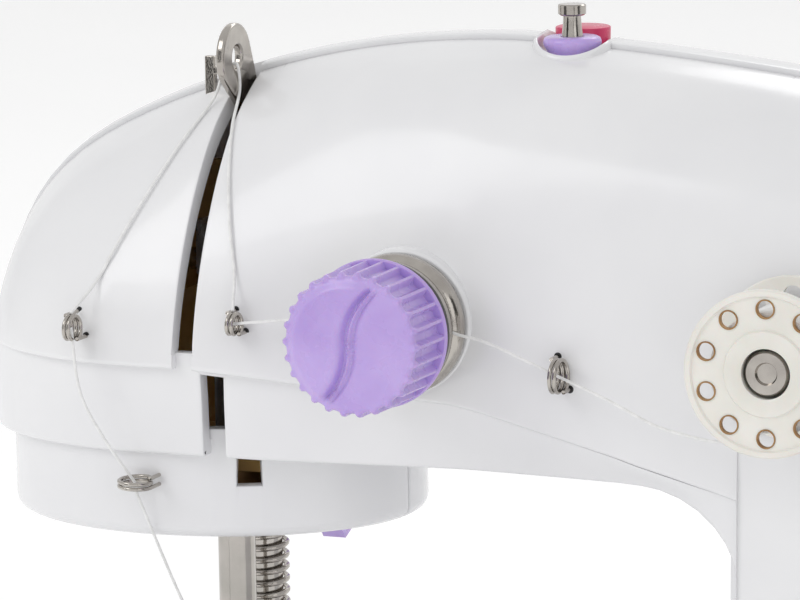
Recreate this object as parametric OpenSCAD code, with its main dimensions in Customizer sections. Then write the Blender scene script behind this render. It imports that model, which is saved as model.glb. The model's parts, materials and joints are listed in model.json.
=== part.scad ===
// Portable lockstitch sewing machine: moulded two-part housing on a battery base,
// with its drive train, needle and presser bars, hook, feed, tension and thread path.
// Millimetres, +Z up, +X towards the handwheel, front at -Y, origin under the centre.

/* [Head and arm] */
// Height of the head's lower edge above the table
head_z = 117; // [112:1:122]
// Height of the highest point of the arm above the head's lower edge
arm_rise = 63.3; // [60:0.5:66]
// Half depth of the arm, front to middle
arm_half = 26.2; // [25:0.2:27]
// Wall thickness of the mouldings
wall = 2; // [1.6:0.1:2.4]

/* [Base] */
// Height of the base's top face
base_z = 60; // [56:1:62]
// Length of the base, left to right
base_l = 182; // [176:1:186]
// Depth of the base, front to back
base_d = 104; // [98:1:110]

/* [Needle] */
// Travel of the needle bar
stroke = 20; // [18:1:21]
// Diameter of the needle bar
needle_bar_d = 4.9; // [4.6:0.1:5]
// Diameter of the presser bar
presser_bar_d = 3.8; // [3.4:0.1:4]

/* [Drive] */
// Radius of the handwheel
handwheel_r = 26; // [22:1:28]
// Radius of the tension knob
knob_r = 9.3; // [8:0.1:10]
// Radius of a bobbin's flanges
bobbin_r = 10.15; // [10:0.05:10.2]

/* [Hidden] */
$fn = 48;
eps = 0.01;
half_l = 102.8;          // half the machine's length
nx = -66;                // needle's place
ny = -4;
mid_y = 6;               // middle plane of head and arm
seam_y = 3.5;            // where front and rear housings meet
base_cx = -7;            // middle of the base along X
base_bottom = 3;
head_cx = nx - 6.5;      // centre of the head's round end
skirt_a = 28;
skirt_b = 23.2;
skirt_h = 10.5;
tier_step = 1.4;
tier_a = head_cx + half_l;
arch_x = -5;             // where the arm's underside starts to turn down
column_r = 13.5;         // radius of that turn
column_x = arch_x + column_r;
column_flare = 3;        // how far the column widens at its foot, front and back
column_end = 80;
end_r = 9;
belly_z = head_z + 22;   // widest level of the arm
shaft_z = 143;
shaft_r = 3;
shaft_y = 0;
crank_r = stroke / 2;
lower_z = 32;
hook_y = ny - 13.3;
knob_x = nx + 30.5;
knob_z = head_z + 29.6;
spool_x = nx + 44.9;
front_bobbin_x = 16;
front_bobbin_z = 145;
presser_y = ny + 10;
lever_y = ny + 10;
lever_z = head_z + 32;
lever_r = 28.9;           // lever's reach from its pivot
motor_y = 14;
motor_z = 92;
thread_d = 0.4;

WHITE = [0.93, 0.93, 0.94];
PURPLE = [0.73, 0.62, 0.86];
PINK = [0.84, 0.2, 0.38];
NICKEL = [0.78, 0.76, 0.72];
CHROMATE = [0.62, 0.48, 0.22];
BLACK = [0.12, 0.12, 0.13];
CREAM = [0.92, 0.9, 0.85];

// ---------- helpers ----------

// Cylinder along X or along -Y, starting at p
module x_rod(p, r, l) translate(p) rotate([0, 90, 0]) cylinder(r = r, h = l);
module y_rod(p, r, l) translate(p) rotate([90, 0, 0]) cylinder(r = r, h = l);
module box(a, b) translate(a) cube(b - a);

// Rectangle with round corners, centred
module round_rect(w, d, r) {
    square([w - 2 * r, d], center = true);
    square([w, d - 2 * r], center = true);
    for (x = [-1, 1], y = [-1, 1])
        translate([x * (w / 2 - r), y * (d / 2 - r)]) circle(r);
}
module slab(c, w, d, r, h) translate(c) linear_extrude(h) round_rect(w, d, r);

// Tube of diameter d along the points
function dir(p, i) = let (a = p[max(i - 1, 0)], b = p[min(i + 1, len(p) - 1)]) (b - a) / norm(b - a);
function side(t, up) = let (s = cross(t, up)) s / norm(s);
module tube(p, d, n = 8, up = [0, 0, 1]) {
    last = len(p) - 1;
    quads = [for (i = [0:last - 1], k = [0:n - 1]) [i * n + (k + 1) % n, (i + 1) * n + (k + 1) % n,
        (i + 1) * n + k, i * n + k]];
    polyhedron(points = [for (i = [0:last]) let (t = dir(p, i), u = side(t, up), v = cross(u, t))
            for (k = [0:n - 1]) p[i] + d / 2 * (cos(360 * k / n) * u + sin(360 * k / n) * v)],
        faces = concat([[for (k = [n - 1:-1:0]) k]], [for (q = quads) [q[0], q[1], q[2]]],
            [for (q = quads) [q[0], q[2], q[3]]], [[for (k = [0:n - 1]) last * n + k]]));
}
// Points of a coil about the Z axis
function coil(r, pitch, turns, n) = [for (i = [0:turns * n])
    [r * cos(360 * i / n), r * sin(360 * i / n), pitch * i / n]];

// ---------- housing ----------

// Heights and depths of the head and arm along X
function from_needle(x) = max(0, x - nx);
function crest(x) = let (u = x - nx - 36)
    head_z + arm_rise - (u < 0 ? 0.00255 * pow(-u, 2.12) : 0.0149 * pow(u, 1.5));
function round_left(x) = let (t = (head_cx - x) / tier_a) t <= 0 ? 0 : min(1, t);
function round_right(x) = let (t = (x - column_end + end_r) / end_r)
    t <= 0 ? 0 : end_r * (1 - sqrt(1 - min(1, t) * min(1, t)));
function half_depth(x) = (arm_half + max(0, x - arch_x) * 0.02) * sqrt(1 - pow(round_left(x), 2))
    - round_right(x);
function top(x) = belly_z + (crest(x) - round_right(x) - belly_z) * sqrt(1 - pow(round_left(x), 6));
function crease(x) = head_z + 22 - 0.07 * from_needle(x) - 0.19 * max(0, x - nx - 38);
function arch(x) = let (u = min(max(0, x - arch_x), column_r))
    head_z + skirt_h - column_r + sqrt(pow(column_r, 2) - pow(u, 2));
function bulge(x) = 1.56 + 0.54 * min(1, from_needle(x) / 36);

// Half of a section, from the crest to the middle of the underside, as [depth, height]
function half_section(x, w) = let (b = max(0.2, half_depth(x) - w), h = max(0.2, top(x) - w - belly_z),
        e = 2 / bulge(x), low = x > column_x + w - eps ? base_z - w : arch(x) + w,
        c = x > arch_x ? low + 2 : max(crease(x) - w, low + 2),
        k = b / arm_half, s = min(tier_step, (c - low) / 4) * k,
        foot = b + (x > arch_x ? column_flare * (belly_z - low) / (belly_z - base_z) : 0))
    concat([for (a = [90:-11:2]) [b * pow(cos(a), e), belly_z + h * pow(sin(a), e)]],
        [[b, belly_z], [foot, c + 0.8], [foot - 0.5 * s, c], [foot - s, c - 0.1],
        [foot - s - 0.4 * k, low + 1], [foot - s - 1.2 * k, low], [0, low]]);
function section(x, w) = let (h = half_section(x, w), n = len(h))
    concat([for (p = h) [x, mid_y - p[0], p[1]]],
        [for (i = [n - 2:-1:1]) [x, mid_y + h[i][0], h[i][1]]]);
// Stations along X, close together where the outline turns
function stations(w) = concat([for (a = [4:11:86]) head_cx - (tier_a - w) * cos(a)],
    [for (x = [-66:7:-10]) x], [for (x = [arch_x:3:arch_x + 12]) x], [column_x - 0.3 + w, column_x + w],
    [for (x = [18:12:66]) x], [for (a = [20:17.5:90]) column_end - end_r + (end_r - w) * sin(a)]);
module loft(w) {
    rings = [for (x = stations(w)) section(x, w)];
    n = len(rings[0]);
    last = len(rings) - 1;
    polyhedron(points = [for (r = rings) each r],
        faces = concat([[for (k = [0:n - 1]) k]],
            [for (i = [0:last - 1], k = [0:n - 1]) [(i + 1) * n + k, (i + 1) * n + (k + 1) % n,
                i * n + (k + 1) % n, i * n + k]],
            [[for (k = [n - 1:-1:0]) last * n + k]]));
}
module skirt_plan(inset) translate([head_cx, mid_y]) scale([skirt_a - inset, skirt_b - inset]) circle(1);
module skirt() translate([0, 0, head_z]) linear_extrude(skirt_h + wall / 2) skirt_plan(0);
module skirt_room() translate([0, 0, head_z + wall]) linear_extrude(skirt_h + 1) skirt_plan(wall);

// Openings that go through the housing
module slots() {
    box([nx - 1.2, -25, head_z + 24], [nx + 1.5, seam_y + 3, head_z + 70]);
    box([nx + 2.2, -25, head_z + 13.5], [nx + 5.2, mid_y - 20, head_z + 20.5]);
    box([nx + 5.3, -25, head_z + 7], [nx + 8.1, mid_y - 20, head_z + 10.3]);
}
module housing_cuts() {
    slots();
    translate([nx, ny, head_z - 1]) cylinder(r = 3.3, h = 5);
    translate([nx, presser_y, head_z - 1]) cylinder(r = 3.3, h = 5);
    translate([head_cx - 12, mid_y, head_z - 1]) cylinder(r = 4, h = 5);
    box([nx - 1.6, mid_y + 2.4, head_z - 1], [nx + 5.6, mid_y + 40, head_z + 18]);
    y_rod([knob_x, 0, knob_z], 2.6, 40);
    y_rod([front_bobbin_x, 0, front_bobbin_z], 2, 40);
    x_rod([column_end - 6, shaft_y, shaft_z], 7, 12);
    translate([spool_x, mid_y - 3, head_z + 50]) cylinder(r = 3.1, h = 20);
    translate([button[0], button[1], head_z + 50]) cylinder(r = 3.8, h = 20);
    for (p = screw_places) y_rod([p[0], 60, p[1]], 1.6, 50);
}
screw_places = [[nx + 20, head_z + 16.5], [-12, head_z + 16.5], [30, 149]];
button = [spool_x - 1.5, mid_y + 5];
// Hollow on top for the spool pin and the button
module dish(z, r, h) hull() for (p = [[spool_x, mid_y - 3], button])
    translate([p[0], p[1], z]) cylinder(r = r, h = h);
module housing() difference() {
    union() {
        difference() {
            union() {
                loft(0);
                skirt();
            }
            loft(wall);
            skirt_room();
        }
        dish(socket_z - wall, 4.9, wall - 0.1);
    }
    dish(socket_z, 4.4, 6);
    housing_cuts();
}
module front_shell() color(WHITE) resize([0, 0, 0]) intersection() {
    housing();
    box([-120, -60, base_z], [100, seam_y, 200]);
}
module rear_shell() color(WHITE) resize([0, 0, 0]) intersection() {
    housing();
    box([-120, seam_y, base_z], [100, 60, 200]);
}

// ---------- base ----------
plate_x = [nx - 16, nx + 16];
plate_y = [ny - 48, ny + 22];
cover_gap = ny - 5;
drawer_w = 64;
drawer_z = [6.4, 22];
bay_x = [-14, 54];
bay_d = 58;
module base_shell() color(WHITE) difference() {
    slab([base_cx, 0, base_bottom], base_l, base_d, 16, base_z - base_bottom);
    slab([base_cx, 0, base_bottom - 1], base_l - 2 * wall, base_d - 2 * wall, 14,
        base_z - base_bottom - wall + 1);
    box([plate_x[0], 2 - base_d / 2, base_z - 5], [plate_x[1], plate_y[1], base_z + 1]);
    box([plate_x[0], -base_d / 2 - 1, base_z - 1.7], [plate_x[1], 3 - base_d / 2, base_z + 1]);
    box([14, -22, base_z - 5], [74, 28, base_z + 1]);
    box([-99, -drawer_w / 2, drawer_z[0]], [-94, drawer_w / 2, drawer_z[1]]);
    box([30, -53, 36], [54, -49, 43]);
    translate([base_cx + 60, 47, 30]) rotate([-90, 0, 0]) cylinder(r = 3, h = 8);
}
module bottom_cover() color(WHITE) {
    difference() {
        slab([base_cx, 0, base_bottom], base_l - 2 * wall - 0.4, base_d - 2 * wall - 0.4, 13.8, wall);
        box([bay_x[0] - 1, -bay_d / 2 - 1, 0], [bay_x[1] + 1, bay_d / 2 + 1, 8]);
    }
    difference() {
        box([bay_x[0] - 2.4, -bay_d / 2 - 2.4, base_bottom + wall],
            [bay_x[1] + 2.4, bay_d / 2 + 2.4, 22]);
        box([bay_x[0] - 1, -bay_d / 2 - 1, 0], [bay_x[1] + 1, bay_d / 2 + 1, 20.6]);
    }
}
module rubber_feet() color(BLACK) for (x = [-1, 1], y = [-1, 1])
    translate([base_cx + x * (base_l / 2 - 16), y * (base_d / 2 - 14), 0]) cylinder(r = 6, h = base_bottom);
door_y = bay_d / 2 + 0.6;
module battery_door() color(WHITE) {
    slab([(bay_x[0] + bay_x[1]) / 2, 0, base_bottom], bay_x[1] - bay_x[0] + 1, bay_d + 0.6, 1, 1.6);
    for (x = [bay_x[0] + 3, bay_x[1] - 9]) x_rod([x, door_y - 1.4, base_bottom + 1.1], 1.1, 6);
}
module battery_contacts() color(NICKEL) for (i = [0:3], s = [-1, 1]) {
    x = bay_x[0] + 10 + 16 * i;
    if ((i % 2 == 0) == (s > 0)) {
        translate([x, s * (bay_d / 2 + 0.8), 13]) rotate([s * 90, 0, 0]) cylinder(r1 = 4.6, r2 = 2.4, h = 4);
    } else {
        box([x - 5, s * (bay_d / 2 + 0.5) - 0.3, 8], [x + 5, s * (bay_d / 2 + 0.5) + 0.3, 18]);
    }
}
module drawer() color(WHITE) difference() {
    box([-97.9, -drawer_w / 2 + 0.4, drawer_z[0] + 0.3], [-32, drawer_w / 2 - 0.4, drawer_z[1] - 0.3]);
    box([-96, -drawer_w / 2 + 2, drawer_z[0] + 2], [-33.6, drawer_w / 2 - 2, drawer_z[1] + 1]);
    translate([-98.4, 0, drawer_z[1] + 1]) rotate([0, 90, 0]) cylinder(r = 8, h = 3);
}
module slide_cover() color(WHITE) {
    box([plate_x[0] + 0.3, plate_y[0] + 0.3, base_z - 1.4], [plate_x[1] - 0.3, cover_gap - 0.2, base_z]);
    box([plate_x[0] + 8, plate_y[0] + 4, base_z], [plate_x[1] - 8, plate_y[0] + 5, base_z + 0.6]);
}
screw_y = plate_y[1] - 4;
module needle_plate() color(NICKEL) difference() {
    box([plate_x[0] + 0.2, cover_gap + 0.2, base_z - 1.2], [plate_x[1] - 0.2, plate_y[1] - 0.2, base_z]);
    translate([nx, ny, base_z - 2]) cylinder(r = 1.1, h = 3);
    for (x = [-4, 4]) box([nx + x - 1.7, ny - 3.6, base_z - 2], [nx + x + 1.7, ny + 12, base_z + 1]);
    for (x = [-12, 12]) translate([nx + x, screw_y, base_z - 2]) cylinder(r = 1.5, h = 3);
}
module screw_z(p, head, r, l) translate(p) {
    difference() {
        cylinder(r = head, h = 1.2);
        box([-head - 1, -0.3, 0.7], [head + 1, 0.3, 2]);
    }
    translate([0, 0, -l]) cylinder(r = r, h = l + eps);
}
module needle_plate_screws() color(NICKEL) for (x = [-12, 12])
    screw_z([nx + x, screw_y, base_z], 2.6, 1.5, 6);
module housing_screws() color(NICKEL) for (p = screw_places) {
    y_rod([p[0], mid_y + arm_half + 1.4, p[1]], 3, 1.6);
    y_rod([p[0], mid_y + arm_half, p[1]], 1.4, 18.2);
}

// ---------- frame and drive ----------
tab_x = -46;
rear_tab_x = 69;
sheet = 1.5;
back_y = 14;             // front face of the frame's back plate
module chassis() color(CHROMATE) difference() {
    union() {
        box([-86, back_y, 124], [-50, back_y + sheet, 156]);
        box([-51, back_y, 131], [rear_tab_x + sheet, back_y + sheet, 156]);
        box([-79, back_y, 155], [-50, back_y + sheet, 161]);
        box([tab_x, -13, 131], [tab_x + sheet, back_y + eps, 156]);
        box([rear_tab_x, -11, 131], [rear_tab_x + sheet, back_y + eps, 152]);
        box([-78, -9, 124], [-56, back_y + eps, 124 + sheet]);
        box([nx - 6, 3.6, 134], [nx + 3, back_y + eps, 134 + sheet]);
        box([nx - 12, 1, 145], [nx - 12 + sheet, back_y + eps, 153]);
        box([46.4, 2, 78], [46.4 + sheet, back_y + sheet, 132]);
    }
    box([pulley_x - 1.5, back_y - 1, 120], [rear_tab_x - 1, back_y + 3, 151]);
    box([nx - 1.5, presser_y + 2, 120], [nx + 5.5, back_y + 3, 133]);
    for (x = [tab_x - 1, rear_tab_x - 1]) x_rod([x, shaft_y, shaft_z], 5, 4);
    translate([nx, ny, 120]) cylinder(r = 4.4, h = 8);
    translate([nx, presser_y, 120]) cylinder(r = presser_bar_d / 2 + 0.06, h = 18);
    for (p = screw_places) y_rod([p[0], 20, p[1]], 1.4, 10);
    x_rod([nx - 14, lever_y, lever_z], 1.5, 6);
    x_rod([45, motor_y, motor_z], 4.1, 4);
}
module shaft_bushes() color([0.72, 0.55, 0.3]) for (x = [tab_x - 2.2, rear_tab_x - 2.2]) difference() {
    x_rod([x, shaft_y, shaft_z], 5, 6);
    x_rod([x - 1, shaft_y, shaft_z], shaft_r + 0.05, 8);
}
module main_shaft() color(NICKEL)
    x_rod([nx + 12, shaft_y, shaft_z], shaft_r, half_l - 4 - nx - 12);
module crank_disc() color(NICKEL) difference() {
    union() {
        x_rod([nx + 9, shaft_y, shaft_z], crank_r + 2, 3);
        x_rod([nx + 11, shaft_y, shaft_z], 6, 4);
        x_rod([nx + 6.1, shaft_y, shaft_z + crank_r], 1.6, 3);
    }
    x_rod([nx + 12, shaft_y, shaft_z], shaft_r, 10);
    x_rod([nx + 8, shaft_y, shaft_z - 7.5], 2.6, 6);
}
wheel_x = 83;
module handwheel() color(WHITE) difference() {
    union() {
        translate([wheel_x, shaft_y, shaft_z]) rotate([0, 90, 0]) rotate_extrude($fn = 96)
            polygon([[0, 3], [8, 3], [10, 6], [handwheel_r - 4, 6], [handwheel_r - 3, 0.6],
                [handwheel_r - 1, 0], [handwheel_r, 1.5], [handwheel_r, half_l - wheel_x - 5],
                [handwheel_r - 3, half_l - wheel_x - 1], [handwheel_r - 8, half_l - wheel_x],
                [0, half_l - wheel_x]]);
        x_rod([wheel_x - 0.6, shaft_y, shaft_z], 6, 5);
    }
    x_rod([wheel_x - 2, shaft_y, shaft_z], shaft_r, half_l - 2 - wheel_x);
    for (a = [0:15:345]) translate([wheel_x - 1, shaft_y, shaft_z]) rotate([a, 0, 0])
        translate([0, handwheel_r + 1.2, 0]) rotate([0, 90, 0]) cylinder(r = 2, h = 13, $fn = 16);
}
pulley_x = 50;
sprocket_x = 58;
sprocket_r = 6.5;
module shaft_pulleys() color(BLACK) difference() {
    union() {
        translate([pulley_x, shaft_y, shaft_z]) rotate([0, 90, 0]) rotate_extrude()
            polygon([[0, 0], [14, 0], [12.2, 2.5], [14, 5], [6, 5], [6, 8], [0, 8]]);
        x_rod([sprocket_x, shaft_y, shaft_z], sprocket_r, 7);
        x_rod([sprocket_x + 6.4, shaft_y, shaft_z], sprocket_r + 1.4, 0.8);
    }
    x_rod([pulley_x - 1, shaft_y, shaft_z], shaft_r, 20);
}
module motor() color([0.55, 0.56, 0.58]) difference() {
    union() {
        x_rod([14, motor_y, motor_z], 12, 32.2);
        x_rod([46, motor_y, motor_z], 4.1, 2.2);
        x_rod([12.6, motor_y, motor_z], 5, 2);
    }
    x_rod([40, motor_y, motor_z], 1.3, 10);
}
module motor_pulley() color(BLACK) {
    x_rod([42, motor_y, motor_z], 1.25, 14);
    translate([pulley_x, motor_y, motor_z]) rotate([0, 90, 0]) rotate_extrude()
        polygon([[1, 0], [5, 0], [3.4, 2.5], [5, 5], [1, 5]]);
}
// Loop of belt round two pulleys, each [y, z, radius]
module belt_loop(a, b, t) difference() {
    hull() for (p = [a, b]) translate([p[0], p[1]]) circle(p[2] + t, $fn = 40);
    hull() for (p = [a, b]) translate([p[0], p[1]]) circle(p[2], $fn = 40);
}
module in_yz(x, w) translate([x, 0, 0]) rotate([90, 0, 90]) linear_extrude(w) children();
module drive_belt() color(BLACK) in_yz(pulley_x + 1.7, 1.6)
    belt_loop([shaft_y, shaft_z, 13.6], [motor_y, motor_z, 4.6], 1.4);
module timing_belt() color(BLACK) in_yz(sprocket_x + 0.6, 5)
    belt_loop([shaft_y, shaft_z, sprocket_r + 0.2], [hook_y, lower_z, sprocket_r + 0.2], 1.2);
bevel_r = 8;
module bevel() difference() {
    cylinder(r1 = bevel_r - 3.2, r2 = bevel_r - 0.2, h = 3, $fn = 64);
    for (a = [0:20:340]) rotate([0, 0, a]) translate([bevel_r - 1.5, 0, 1.5])
        rotate([0, 45, 0]) cube([1, 0.9, 7], center = true);
}
module lower_shaft() color(NICKEL) {
    translate([nx + bevel_r - 3, hook_y, lower_z]) rotate([0, 90, 0]) bevel();
    x_rod([nx + bevel_r - 0.01, hook_y, lower_z], 2, 76);
    x_rod([nx + bevel_r + 76, hook_y, lower_z], 2, 49);
    difference() {
        x_rod([sprocket_x, hook_y, lower_z], sprocket_r, 6.4);
        x_rod([sprocket_x - 1, hook_y, lower_z], 2, 9);
    }
}
module lower_bushes() color([0.72, 0.55, 0.3]) for (x = [-46, 50]) difference() {
    box([x, hook_y - 5, lower_z - 6], [x + 5, hook_y + 5, base_z - wall]);
    x_rod([x - 1, hook_y, lower_z], 2.06, 7);
}
module hook() color(NICKEL) translate([nx, hook_y, 0]) {
    translate([0, 0, lower_z + bevel_r - 3]) bevel();
    cylinder_at(lower_z + bevel_r - 0.01, 2.4, 3);
    difference() {
        cylinder_at(42, 12.4, 10);
        cylinder_at(43, 11.6, 10);
        box([-14, 4, 49], [2, 14, 60]);
    }
}
module cylinder_at(z, r, h) translate([0, 0, z]) cylinder(r = r, h = h);
module bobbin_case() color(BLACK) translate([nx, hook_y, 0]) difference() {
    union() {
        cylinder_at(43.4, 11.2, 12);
        box([-4, -15, 53], [4, -10, 55]);
    }
    cylinder_at(44.6, 10.5, 12);
}
// Bobbin of class 15 size, its axis along Z
module bobbin(holes) {
    difference() {
        union() {
            cylinder(r = bobbin_r, h = 0.8);
            cylinder(r = 4, h = 11.6);
            cylinder_at(10.8, bobbin_r, 0.8);
        }
        cylinder_at(-1, 3.05, 14);
        for (i = [0:holes - 1]) rotate([0, 0, 360 * i / holes])
            translate([7.8, 0, -1]) cylinder(r = 1.2, h = 14, $fn = 24);
    }
}
module lower_bobbin() color(CREAM) translate([nx, hook_y, 44.8]) bobbin(10);
module feed_carriage() color(NICKEL) {
    box([nx - 8, ny + 14.6, 50], [nx + 8, ny + 17, 57]);
    box([nx - 8, ny + 17, 54], [nx + 8, ny + 30, 56]);
}
module feed_dog() color(NICKEL) {
    box([nx - 6, ny - 0.6, 54.4], [nx - 3, ny + 13, 57.4]);
    box([nx + 3, ny - 0.6, 54.4], [nx + 6, ny + 13, 57.4]);
    box([nx - 6, ny + 8, 54.4], [nx + 6, ny + 12.4, 57.4]);
    for (x = [-4, 4], i = [0:6]) translate([nx + x, ny + 1 + 1.5 * i, 57.3]) rotate([90, 0, 90])
        translate([0, 0, -1.2]) linear_extrude(2.4) polygon([[-0.7, 0], [0.7, 0], [0.4, 1.9]]);
}

// ---------- needle, presser and lever ----------
module take_up_lever() color(NICKEL) {
    translate([nx - 0.6, lever_y, lever_z]) rotate([90, 0, 90]) linear_extrude(1.2) difference() {
        union() {
            hull() {
                circle(3.4, $fn = 32);
                translate([-2.5, lever_r - 8]) circle(2.4, $fn = 32);
            }
            hull() {
                translate([-2.5, lever_r - 8]) circle(2.4, $fn = 32);
                translate(eye) circle(4.4, $fn = 32);
            }
        }
        translate(eye) circle(1.5);
    }
    x_rod([nx - 11.6, lever_y, lever_z], 1.45, 11);
}
eye = [-7.6, lever_r - 1.1];
tip_z = base_z + 10;     // needle's point at the top of its stroke
module needle_yoke() color(NICKEL) difference() {
    union() {
        translate([nx, ny, shaft_z + crank_r - 4]) cylinder(r = 4.4, h = 7);
        box([nx + 3.6, shaft_y - crank_r - 2.6, shaft_z + crank_r - 3.2],
            [nx + 5.6, shaft_y + crank_r + 2.4, shaft_z + crank_r + 3.2]);
    }
    translate([nx, ny, 140]) cylinder(r = needle_bar_d / 2, h = 30);
    box([nx + 4.6, shaft_y - crank_r - 1.6, shaft_z + crank_r - 1.9],
        [nx + 8, shaft_y + crank_r + 1.4, shaft_z + crank_r + 1.9]);
}
module needle_bar() color(NICKEL) translate([nx, ny, head_z - 15])
    cylinder(r = needle_bar_d / 2, h = 56);
module needle_bush() color([0.72, 0.55, 0.3]) translate([nx, ny, head_z + 0.5]) difference() {
    union() {
        cylinder(r = 3.2, h = 2);
        cylinder_at(2, 4.4, 8.6);
    }
    cylinder_at(-1, needle_bar_d / 2 + 0.05, 14);
}
module needle_clamp() color(NICKEL) translate([nx, ny, head_z - 21]) difference() {
    union() {
        cylinder(r = 3.4, h = 6);
        cylinder_at(5.9, 3.4, 3);
        box([0, -2.2, 1], [5, 2.2, 6]);
    }
    cylinder_at(5.9, needle_bar_d / 2, 8);
    cylinder_at(-1, 1.02, 9);
    x_rod([1, 0, 3.5], 1.2, 6);
}
module needle_clamp_screw() color(NICKEL) {
    x_rod([nx + 1.2, ny, head_z - 17.5], 1.15, 5);
    x_rod([nx + 5.2, ny, head_z - 17.5], 2.6, 3);
}
module needle() color(NICKEL) translate([nx, ny, 0]) difference() {
    union() {
        cylinder_at(head_z - 31, 1, 15.6);
        cylinder_at(tip_z + 2.2, 0.4, head_z - 31 - tip_z - 2.2 + eps);
        translate([0, 0, tip_z]) cylinder(r1 = 0.05, r2 = 0.4, h = 2.2 + eps);
    }
    y_rod([0, 3, tip_z + 3.6], 0.2, 6);
}
spring_z = 103.2;        // where the presser spring starts, above its collar
module presser_bar() color(NICKEL) {
    translate([nx, presser_y, 72]) cylinder(r = presser_bar_d / 2, h = 66);
    translate([nx, presser_y, spring_z - 2]) cylinder(r = 3.4, h = 1.6);
    box([nx - 3, presser_y - 2.6, 126.1], [nx + 3, presser_y + 3.2, 127.8]);
}
module presser_spring() color(NICKEL) translate([nx, presser_y, spring_z])
    tube(coil(presser_bar_d / 2 + 0.55, 1.6, 12, 10), 0.8, 6);
sole_z = base_z + 0.3;
sole_top = base_z + 1.9;
module presser_foot() color(NICKEL) difference() {
    union() {
        box([nx - 2.6, presser_y - 2.6, 71], [nx + 2.6, presser_y + 3, 82]);
        box([nx - 2, ny + 4, sole_top - 0.5], [nx + 2, presser_y + 2, 72]);
        in_yz(nx - 6.5, 13) polygon([[ny + 12, sole_z], [ny + 12, sole_top], [ny - 8.6, sole_top],
            [ny - 12.2, sole_top + 2.6], [ny - 13.1, sole_top + 1.4], [ny - 9, sole_z]]);
    }
    translate([nx, presser_y, 72]) cylinder(r = presser_bar_d / 2, h = 12);
    translate([nx, ny, 50]) cylinder(r = 1.6, h = 20);
    box([nx - 1.2, ny - 20, 50], [nx + 1.2, ny - 1, 68]);
    x_rod([nx + 1, presser_y, 77], 1.2, 6);
}
module presser_foot_screw() color(NICKEL) {
    x_rod([nx + 1.95, presser_y, 77], 1.15, 2);
    x_rod([nx + 2.7, presser_y, 77], 3, 3);
}
lifter_y = presser_y + 5;
lifter_z = head_z + 6.6;
module presser_lifter() color(PURPLE) {
    x_rod([nx - 0.8, lifter_y, lifter_z], 2.2, 5.8);
    in_yz(nx - 0.9, 3.3) polygon([[lifter_y + 0.6, lifter_z - 1.8], [lifter_y + 2, lifter_z + 0.6],
        [lifter_y + 15, lifter_z - 10], [lifter_y + 18, lifter_z - 14.8],
        [lifter_y + 15.5, lifter_z - 15.8], [lifter_y + 12.5, lifter_z - 12.4]]);
}

// ---------- tension and thread path ----------
face_y = mid_y - arm_half - 0.6;   // where the tension discs start
module along_front(x, z, y) translate([x, y, z]) rotate([90, 0, 0]) children();
module tension_stud() color(NICKEL) y_rod([knob_x, -8, knob_z], 2.5, 24.6);
module saucer(flip) mirror([0, 0, flip]) rotate_extrude($fn = 64)
    polygon([[2.6, 0], [6.9, 0], [8.5, 1.5], [8.5, 2.1], [8.1, 2.1], [6.7, 0.6], [2.6, 0.6]]);
module tension_discs() color(NICKEL) {
    along_front(knob_x, knob_z, face_y - 2.5) saucer(1);
    along_front(knob_x, knob_z, face_y - 3.1) saucer(0);
}
module tension_felt() color(BLACK) along_front(knob_x, knob_z, face_y - 5.2) difference() {
    cylinder(r = 8.4, h = 1.6);
    cylinder_at(-1, 2.6, 4);
}
module tension_knob() color(PURPLE) along_front(knob_x, knob_z, face_y - 7.1) difference() {
    union() {
        rotate_extrude($fn = 64) polygon([[0, 0], [knob_r, 0], [knob_r, 0.7], [knob_r - 0.9, 0.7],
            [knob_r - 1.3, 8.2], [knob_r - 2.6, 9], [0, 9.6]]);
        for (a = [0:360 / 26:359]) rotate([0, 0, a]) translate([knob_r - 1.5, -0.35, 0.6]) cube([1.5, 0.7, 7.2]);
    }
    cylinder_at(-1, 2.55, 6);
}
// A wire guide: two and a half turns of wire round p, with both ends in the housing.
// The turns stand up across X, or lie flat.
wire_d = 0.54;
function ring(r, a, flat) = flat ? [r * cos(a), r * sin(a), 0] : [0, r * cos(a), r * sin(a)];
function guide_path(p, r, flat) = let (from = flat ? 0 : 90, along = flat ? [0, 0, 1] : [1, 0, 0],
        turns = [for (a = [0:30:900]) p + ring(r, from - a, flat) + (a / 360 - 1.25) * 0.62 * along])
    concat([turns[0] + [0, 3.4, 0]], turns, [turns[len(turns) - 1] + [0, 3.4, 0]]);
module guide(p, r, flat = false) tube(guide_path(p, r, flat), wire_d, 6, flat ? [0, 0, 1] : [1, 0, 0]);
guide_a = [nx + 8.2, -21.7, head_z + 28.6];
guide_b = [nx + 51.9, -22.4, head_z + 24.4];
guide_c = [nx - 6.8, -20, head_z + 7];
guide_d = [nx - 14.5, -21.6, head_z + 27];
module thread_guides() color(NICKEL) {
    guide(guide_a, 1.3);
    guide(guide_b, 2);
    guide(guide_c, 1.8, true);
    guide(guide_d, 1.5);
}
module thread_hook() color(NICKEL) {
    box([nx - 5.6, 1.6, head_z + 50], [nx - 4.2, 2.6, head_z + 59.4]);
    box([nx - 5.6, 1.6, head_z + 57], [nx - 1.7, 2.6, head_z + 58]);
}
module front_spindle() color(NICKEL) {
    y_rod([front_bobbin_x, -8, front_bobbin_z], 1.9, 14);
    y_rod([front_bobbin_x, -20.8, front_bobbin_z], 2.9, 11.6);
}
module front_bobbin() color(CREAM) along_front(front_bobbin_x, front_bobbin_z, -21.2) bobbin(10);
module thread_winding() color([0.95, 0.95, 0.93]) along_front(front_bobbin_x, front_bobbin_z, -22.1)
    difference() {
        cylinder(r = 7.2, h = 9.8);
        cylinder_at(-1, 4.02, 12);
    }
lever_eye = [nx, lever_y + eye[0], lever_z + eye[1]];
needle_eye = [nx, ny - 0.7, tip_z + 3.6];
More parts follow.
